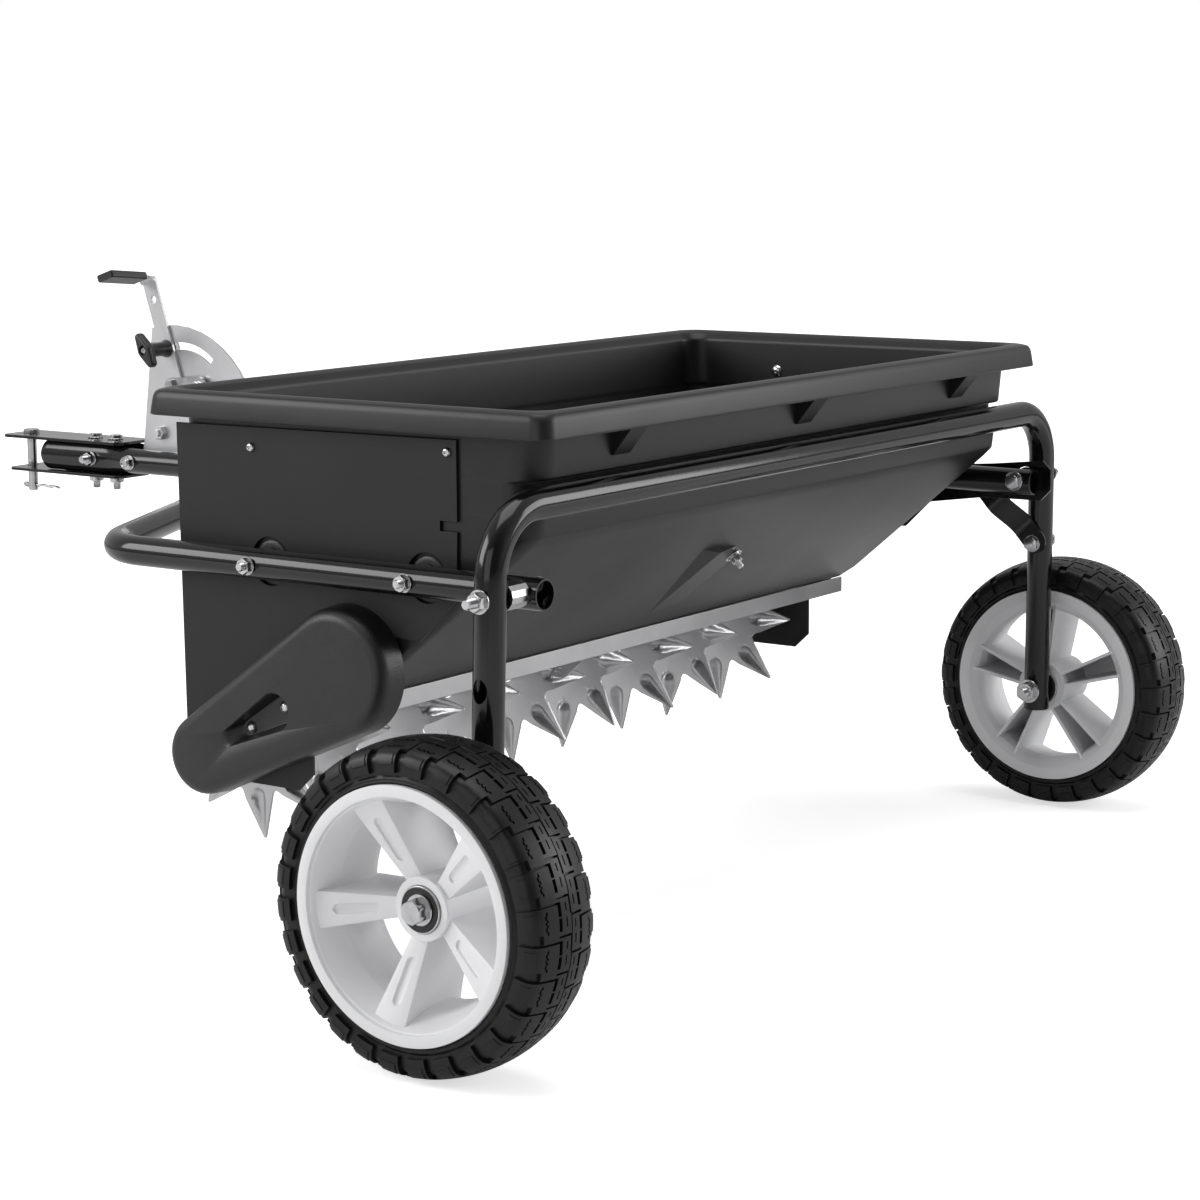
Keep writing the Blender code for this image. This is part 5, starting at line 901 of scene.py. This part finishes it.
def build_end_plate(label, side):
    """A sheet on the end of the hopper, cut back along the slope, with holes for the bosses and the two shafts."""
    node = f"end_plate_{label}"
    outline = PLATE_TOP + PLATE_CUT[label] + PLATE_FOOT
    face = PLATE_INSIDE + PLATE_SHEET
    plate = skin(f"{node}_detail", [at_x(side * PLATE_INSIDE, outline), at_x(side * face, outline)], PLATE_PAINT)
    for y, z, radius in PLATE_HOLES:
        carve(plate, stack((side * (face + 5 * mm), y, z), (-side, 0, 0), [(0, radius), (12 * mm, radius)], 48))
    round_edges(plate, 0.4 * mm, 2, 50)
    fit(plate, node, sharp=40)
    for i, (y, z) in enumerate(PLATE_SCREWS):
        turned(f"plate_screw_{label}_{i + 1}", node, (side * (face - 0.4 * mm), y, z), (side, 0, 0),
               ((0, 4), (1.2, 4), (2.3, 3.3), (3, 2.2), (3.1, 1.4), (2.2, 1.2)))


# Chain cover

def build_cover():
    stations = [(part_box("chain_cover")[1].x, 0.0)]
    for i in range(11):
        angle = pi / 2 * i / 10
        stations.append((COVER_FACE_X + COVER_EDGE * (1 - sin(angle)), COVER_DRAFT + COVER_ROUND * (1 - cos(angle))))
    (large, large_radius), (small, small_radius) = COVER_ENDS
    rings = [at_x(x, belt_outline(large, large_radius - inset, small, small_radius - inset, 24))
             for x, inset in stations]
    cover = skin("chain_cover_detail", rings, COVER_PLASTIC)

    # The pocket narrows from a tear-shaped lip to the floor that holds the two screws.
    pairs = list(zip(belt_outline(*POCKET_LIP, 16), belt_outline(*POCKET_FLOOR, 16)))
    rings = []
    for depth, share in POCKET_WALL:
        outline = [(y0 + (y1 - y0) * share, z0 + (z1 - z0) * share) for (y0, z0), (y1, z1) in pairs]
        rings.append(at_x(COVER_FACE_X + depth * mm, outline))
    carve(cover, rings)
    fit(cover, "chain_cover", sharp=50)
    for i, (y, z) in enumerate(COVER_SCREWS):
        turned(f"cover_screw_{i + 1}", "chain_cover", (COVER_FACE_X + POCKET_DEPTH + 0.1 * mm, y, z), (-1, 0, 0),
               ((0, 5.2), (0.5, 5.2), (1.6, 4.7), (2.9, 3.3), (3.5, 2.1), (2.6, 1.9)))


# Reel

def disc_outline(angle):
    """The distance from the axis to the disc's edge, by the angle from the middle of a spike."""
    turn = abs(angle)
    along, across = FLANK_FOOT
    flank = atan2(across, along)
    if turn < flank:
        level = across + FLANK_SLOPE * along
        return min(SPIKE_RADIUS, level / (sin(turn) + FLANK_SLOPE * cos(turn)))
    share = (pi / SPIKES - turn) / (pi / SPIKES - flank)
    return VALLEY_RADIUS + VALLEY_RISE * share ** 2


def spike_height(u, w):
    """How far the sheet is pressed out, at a distance along and across a spike."""
    tilt = max(0.0, SPIKE_LEAN * (u - FLANK_FOOT[0]) / (SPIKE_RADIUS - FLANK_FOOT[0]))
    if u > RIDGE_START:
        share = (SPIKE_RADIUS - u) / (SPIKE_RADIUS - RIDGE_START)
        half, crest = 7.4 * share + 0.3, 6.2 * share + 0.2
    else:
        round_end = sqrt(max(0.0, 1 - ((RIDGE_START - u) / RIDGE_ROUND) ** 2))
        half, crest = 7.7 * round_end, 6.4 * round_end
    if half < 0.1 or abs(w) >= half:
        return tilt
    return tilt + crest * (1 - (w / half) ** 2) ** 0.8


def build_disc(number):
    node = f"spike_disc_{number}"
    low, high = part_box(node)
    facing = 1 if number % 2 else -1
    sheet_x = low.x + SHEET if facing > 0 else high.x - SHEET
    degrees = [-d for d in DISC_DEGREES[-2:0:-1]] + list(DISC_DEGREES)
    rings = []
    for i in range(SPIKES):
        for angle in map(radians, degrees):
            turn = SPIKE_PHASE + 2 * pi * i / SPIKES + angle
            column = [(BORE_RADIUS, 0.0)]
            for share in DISC_SHARES:
                reach = FLAT_RADIUS + (disc_outline(angle) - FLAT_RADIUS) * share
                column.append((reach, spike_height(reach * cos(angle), reach * sin(angle))))
            front = [Vector((sheet_x + facing * h * mm, REEL_Y - r * mm * sin(turn),
                             REEL_Z - r * mm * cos(turn))) for r, h in column]
            back = [p - Vector((facing * SHEET, 0, 0)) for p in front]
            rings.append(front + back[::-1])
    fit(skin(f"{node}_detail", rings, GALVANISED, closed=True), node, sharp=48)


# Lever and lock

def knob_outline(middle, inset):
    """A round hub with two rounded wings, in the YZ plane."""
    hub, tip = 8.4 * mm - inset, 4.3 * mm - inset
    lean = acos((hub - tip) / WING_REACH)
    points = []
    for turn in (WING_HEADING, WING_HEADING + pi):
        end = (middle[0] + WING_REACH * cos(turn), middle[1] + WING_REACH * sin(turn))
        points += arc(end, tip, turn - lean, turn + lean, 10)
        points += arc(middle, hub, turn + lean, turn + pi - lean, 6)[1:-1]
    return points


def build_knob():
    low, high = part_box("wing_knob")
    middle = ((low.y + high.y) / 2 - AXLE_Y, (low.z + high.z) / 2)
    stations = scaled((0, 3.2), (0.4, 1.7), (1.4, 0.6), (3, 0), (7.5, 0), (9, 0.7), (10, 1.8), (10.4, 3.4))
    rings = [at_x(low.x + x, knob_outline(middle, inset)) for x, inset in stations]
    knob = skin("wing_knob_detail", rings, KNOB_PLASTIC)
    root = low.x + 8 * mm
    length = high.x - root
    neck = scaled((0, 7.6), (3, 7.4), (17, 7.2), (21, 7.6)) + [(length - 1 * mm, 9 * mm), (length, 9 * mm)]
    carve(knob, stack((root, *middle), (1, 0, 0), neck, 40), "UNION")
    carve(knob, stack((low.x - 1 * mm, *middle), (1, 0, 0), scaled((0, 5.4), (1.6, 4.8), (4.5, 4.6))))
    fit(knob, "wing_knob", sharp=40)
    turned("wing_knob_insert", "wing_knob", (low.x + 0.6 * mm, *middle), (1, 0, 0),
           ((0, 2.4), (0.6, 3.1), (3.6, 3.1)), sides=24)


def build_brace():
    """A flat bar that bends over from the bracket plate to the leg."""
    low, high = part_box("lock_brace")
    top = Vector(BRACE_TOP)
    bottom = Vector((leg_y(LEG_HOLE_Z) - 2 * mm, LEG_HOLE_Z + 2 * mm))
    run = (bottom - top).length
    along = (bottom - top).normalized()
    across = Vector((-along.y, along.x))
    distances = [-BRACE_HALF * cos(pi / 2 * i / 6) for i in range(6)]
    distances += [run * i / 14 for i in range(15)]
    distances += [run + BRACE_HALF * sin(pi / 2 * i / 6) for i in range(1, 7)]
    rings = []
    for distance in distances:
        beyond = max(-distance, distance - run, 0.0)
        width = max(0.08, sqrt(max(0.0, 1 - (beyond / BRACE_HALF) ** 2)))
        share = min(1.0, max(0.0, (distance / run - 0.22) / 0.5))
        x = low.x + (high.x - BRACE_SHEET - low.x) * share * share * (3 - 2 * share)
        centre = top + along * distance
        a, b = centre - across * BRACE_HALF * width, centre + across * BRACE_HALF * width
        rings.append(at_x(x, (a, b)) + at_x(x + BRACE_SHEET, (b, a)))
    brace = skin("lock_brace_detail", rings, TUBE_PAINT)
    round_edges(brace, 0.5 * mm, 2, 50)
    fit(brace, "lock_brace", sharp=40)


def build_clip():
    """A hairpin of one wire: a straight leg through the pin, a coil, and a wavy leg round the pin's side."""
    low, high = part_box("hairpin_clip")
    outward = Vector((cos(CLIP_TILT), 0, sin(CLIP_TILT)))
    normal = Vector((-sin(CLIP_TILT), 0, cos(CLIP_TILT)))
    axis = Vector((0, 0, (low.z + high.z) / 2))
    front = high.y - AXLE_Y - CLIP_COIL - CLIP_WIRE
    rear = low.y - AXLE_Y + CLIP_WIRE

    def place(y, out, lift=0.0):
        return axis + Vector((0, y, 0)) + outward * out + normal * lift

    path = [place(rear + (front - rear) * i / 6, 0) for i in range(6)]
    steps = 36
    for i in range(steps + 1):
        angle = -pi / 2 + 3 * pi * i / steps
        path.append(place(front + CLIP_COIL * cos(angle), CLIP_COIL * (1 + sin(angle)), CLIP_LIFT * i / steps))
    for (d0, out0), (d1, out1) in zip(CLIP_WAVE, CLIP_WAVE[1:]):
        for share in (i / 8 for i in range(1, 9)):
            blend = 0.5 - 0.5 * cos(pi * share)
            path.append(place(front - (d0 + (d1 - d0) * share) * mm, (out0 + (out1 - out0) * blend) * mm, CLIP_LIFT))
    fit(skin("hairpin_clip_detail", path_rings(path, normal, CLIP_WIRE), ZINC), "hairpin_clip", sharp=50)


# Stage, light and camera

def build_floor():
    """A floor that glows to the camera, up to the white of the background away from the machine."""
    bm = bmesh.new()
    bm.faces.new([bm.verts.new((x * FLOOR_SIZE, y * FLOOR_SIZE, 0)) for x, y in ((-1, -1), (1, -1), (1, 1), (-1, 1))])
    material = bpy.data.materials.new("floor_white")
    material.use_nodes = True
    tree = material.node_tree
    link = tree.links.new
    shader = tree.nodes["Principled BSDF"].inputs
    for socket, value in (("Base Color", (0.9, 0.9, 0.9, 1)), ("Roughness", 1.0), ("Specular IOR Level", 0.0),
                          ("Emission Color", (1, 1, 1, 1))):
        shader[socket].default_value = value
    reach = add_node(tree, "ShaderNodeVectorMath", "LENGTH")
    link(add_node(tree, "ShaderNodeTexCoord").outputs["Object"], reach.inputs[0])
    glow = add_node(tree, "ShaderNodeMath", "MULTIPLY")
    link(add_node(tree, "ShaderNodeLightPath").outputs["Is Camera Ray"], glow.inputs[0])
    link(add_range(tree, reach.outputs["Value"], GLOW_REACH, GLOW_LEVELS).outputs["Result"], glow.inputs[1])
    link(glow.outputs["Value"], shader["Emission Strength"])
    make_object("floor", bm, material)


def build_studio():
    """A world that is white to the camera, and otherwise dim on one side and bright on the others."""
    world = bpy.data.worlds.new("studio")
    bpy.context.scene.world = world
    world.use_nodes = True
    tree = world.node_tree
    link = tree.links.new
    background = tree.nodes["Background"].inputs
    background["Color"].default_value = (1, 1, 1, 1)
    facing = add_node(tree, "ShaderNodeVectorMath", "DOT_PRODUCT")
    facing.inputs[1].default_value = DIM_SIDE
    link(add_node(tree, "ShaderNodeTexCoord").outputs["Generated"], facing.inputs[0])
    level = add_range(tree, facing.outputs["Value"], DIM_SPAN, (STUDIO_BRIGHT, STUDIO_DIM))
    level.interpolation_type = "SMOOTHSTEP"
    rays = add_node(tree, "ShaderNodeLightPath").outputs
    shine = add_node(tree, "ShaderNodeMath", "MULTIPLY_ADD")
    shine.inputs[1].default_value = STUDIO_SHINE
    shine.inputs[2].default_value = 1.0
    link(rays["Is Glossy Ray"], shine.inputs[0])
    lit = add_node(tree, "ShaderNodeMath", "MULTIPLY")
    link(level.outputs["Result"], lit.inputs[0])
    link(shine.outputs["Value"], lit.inputs[1])
    strength = add_node(tree, "ShaderNodeMix", B=1.0)
    link(rays["Is Camera Ray"], strength.inputs["Factor"])
    link(lit.outputs["Value"], strength.inputs["A"])
    link(strength.outputs["Result"], background["Strength"])


def build_lights():
    for name, (place, width, height, power) in LIGHTS.items():
        data = bpy.data.lights.new(name, "AREA")
        data.shape = "RECTANGLE"
        data.size = width
        data.size_y = height
        data.energy = power
        light = bpy.data.objects.new(name, data)
        light.location = place
        light.rotation_mode = "QUATERNION"
        light.rotation_quaternion = (Vector(LIGHT_TARGET) - Vector(place)).to_track_quat("-Z", "Y")
        bpy.context.scene.collection.objects.link(light)


def build_camera():
    data = bpy.data.cameras.new("camera")
    camera = bpy.data.objects.new("camera", data)
    bpy.context.scene.collection.objects.link(camera)
    data.lens = CAMERA_LENS
    data.sensor_width = CAMERA_SENSOR
    data.clip_start = 0.05
    data.clip_end = 100
    yaw, pitch, roll = CAMERA_TURN
    look = Vector((cos(yaw) * cos(pitch), sin(yaw) * cos(pitch), -sin(pitch)))
    level = Vector((sin(yaw), -cos(yaw), 0))
    steep = level.cross(look)
    right = level * cos(roll) + steep * sin(roll)
    up = steep * cos(roll) - level * sin(roll)
    turn = Matrix((right, up, -look)).transposed()
    place = Vector(CAMERA_PLACE) + Vector((0, AXLE_Y, 0))
    camera.matrix_world = Matrix.Translation(place) @ turn.to_4x4()
    bpy.context.scene.camera = camera


def build_all():
    for label, side in SIDES:
        build_tyre(label, side)
        build_rim(label, side)
        build_arm(label, side)
        build_end_plate(label, side)
        bolt(f"axle_bolt_{label}", (-side, 0, 0), 8, 4, 5, 17.4, 12, 2, 3)
        bolt(f"wheel_frame_bolt_{label}", (side, 0, 0), 5, 9, 4.2, 13.4, 9.4, 1.2, 0)
        for end in ("rear", "front"):
            bolt(f"arm_bolt_{end}_{label}", (side, 0, 0), 4, 4, 3.6, 12, 7.6, 1.2, 0)
    bolt("lock_brace_bolt", (1, 0, 0), 5, 5, 4.2, 13.4, 8.6, 1.2, 0)
    bolt("lever_pivot_bolt", (-1, 0, 0), 3, 3, 3, 10, 6.4, 0.8, 0)
    for end in ("rear", "front"):
        bolt(f"hitch_plate_bolt_{end}", (0, 0, -1), 4, 8, 4, 13, 8, 1.2, 0)
    bolt("drawbar_bolt_rear", (-1, 0, 0), 4, 1, 4, 12, 7.4, 1.2, 0)
    bolt("drawbar_bolt_front", (-1, 0, 0), 4, 8, 4, 12, 7.4, 1.2, 0)
    build_wheel_frame()
    build_hopper()
    build_hopper_details()
    build_cover()
    build_knob()
    build_brace()
    build_clip()
    for number in range(1, 10):
        build_disc(number)
    dress(("lock_bracket_plate", "hitch_plate_upper", "hitch_plate_lower"), TUBE_PAINT, 0.5 * mm)
    dress(("lever_quadrant", "control_lever"), LEVER_ZINC, 0.4 * mm)
    dress(("lever_grip",), KNOB_PLASTIC, 1.8 * mm, 4)
    dress(("bottom_channel", "shutter_gate", "agitator_shaft"), GALVANISED, 0.3 * mm)
    dress(("reel_bush_left", "reel_bush_right"), KNOB_PLASTIC, 0.4 * mm)
    dress(("hub_bush_left", "hub_bush_right"), SEAL_RUBBER)
    dress(("wheel_frame_spacer_left", "wheel_frame_spacer_right", "reel_shaft", "control_rod", "hitch_pin",
           "knob_stud", "lever_link_bolt"), ZINC)
    dress(("drive_chain", "reel_sprocket", "agitator_sprocket"), STEEL, 0.2 * mm)


build_all()
build_floor()
build_studio()
build_lights()
build_camera()
bpy.context.scene.view_settings.view_transform = "Standard"

bpy.context.view_layer.update()
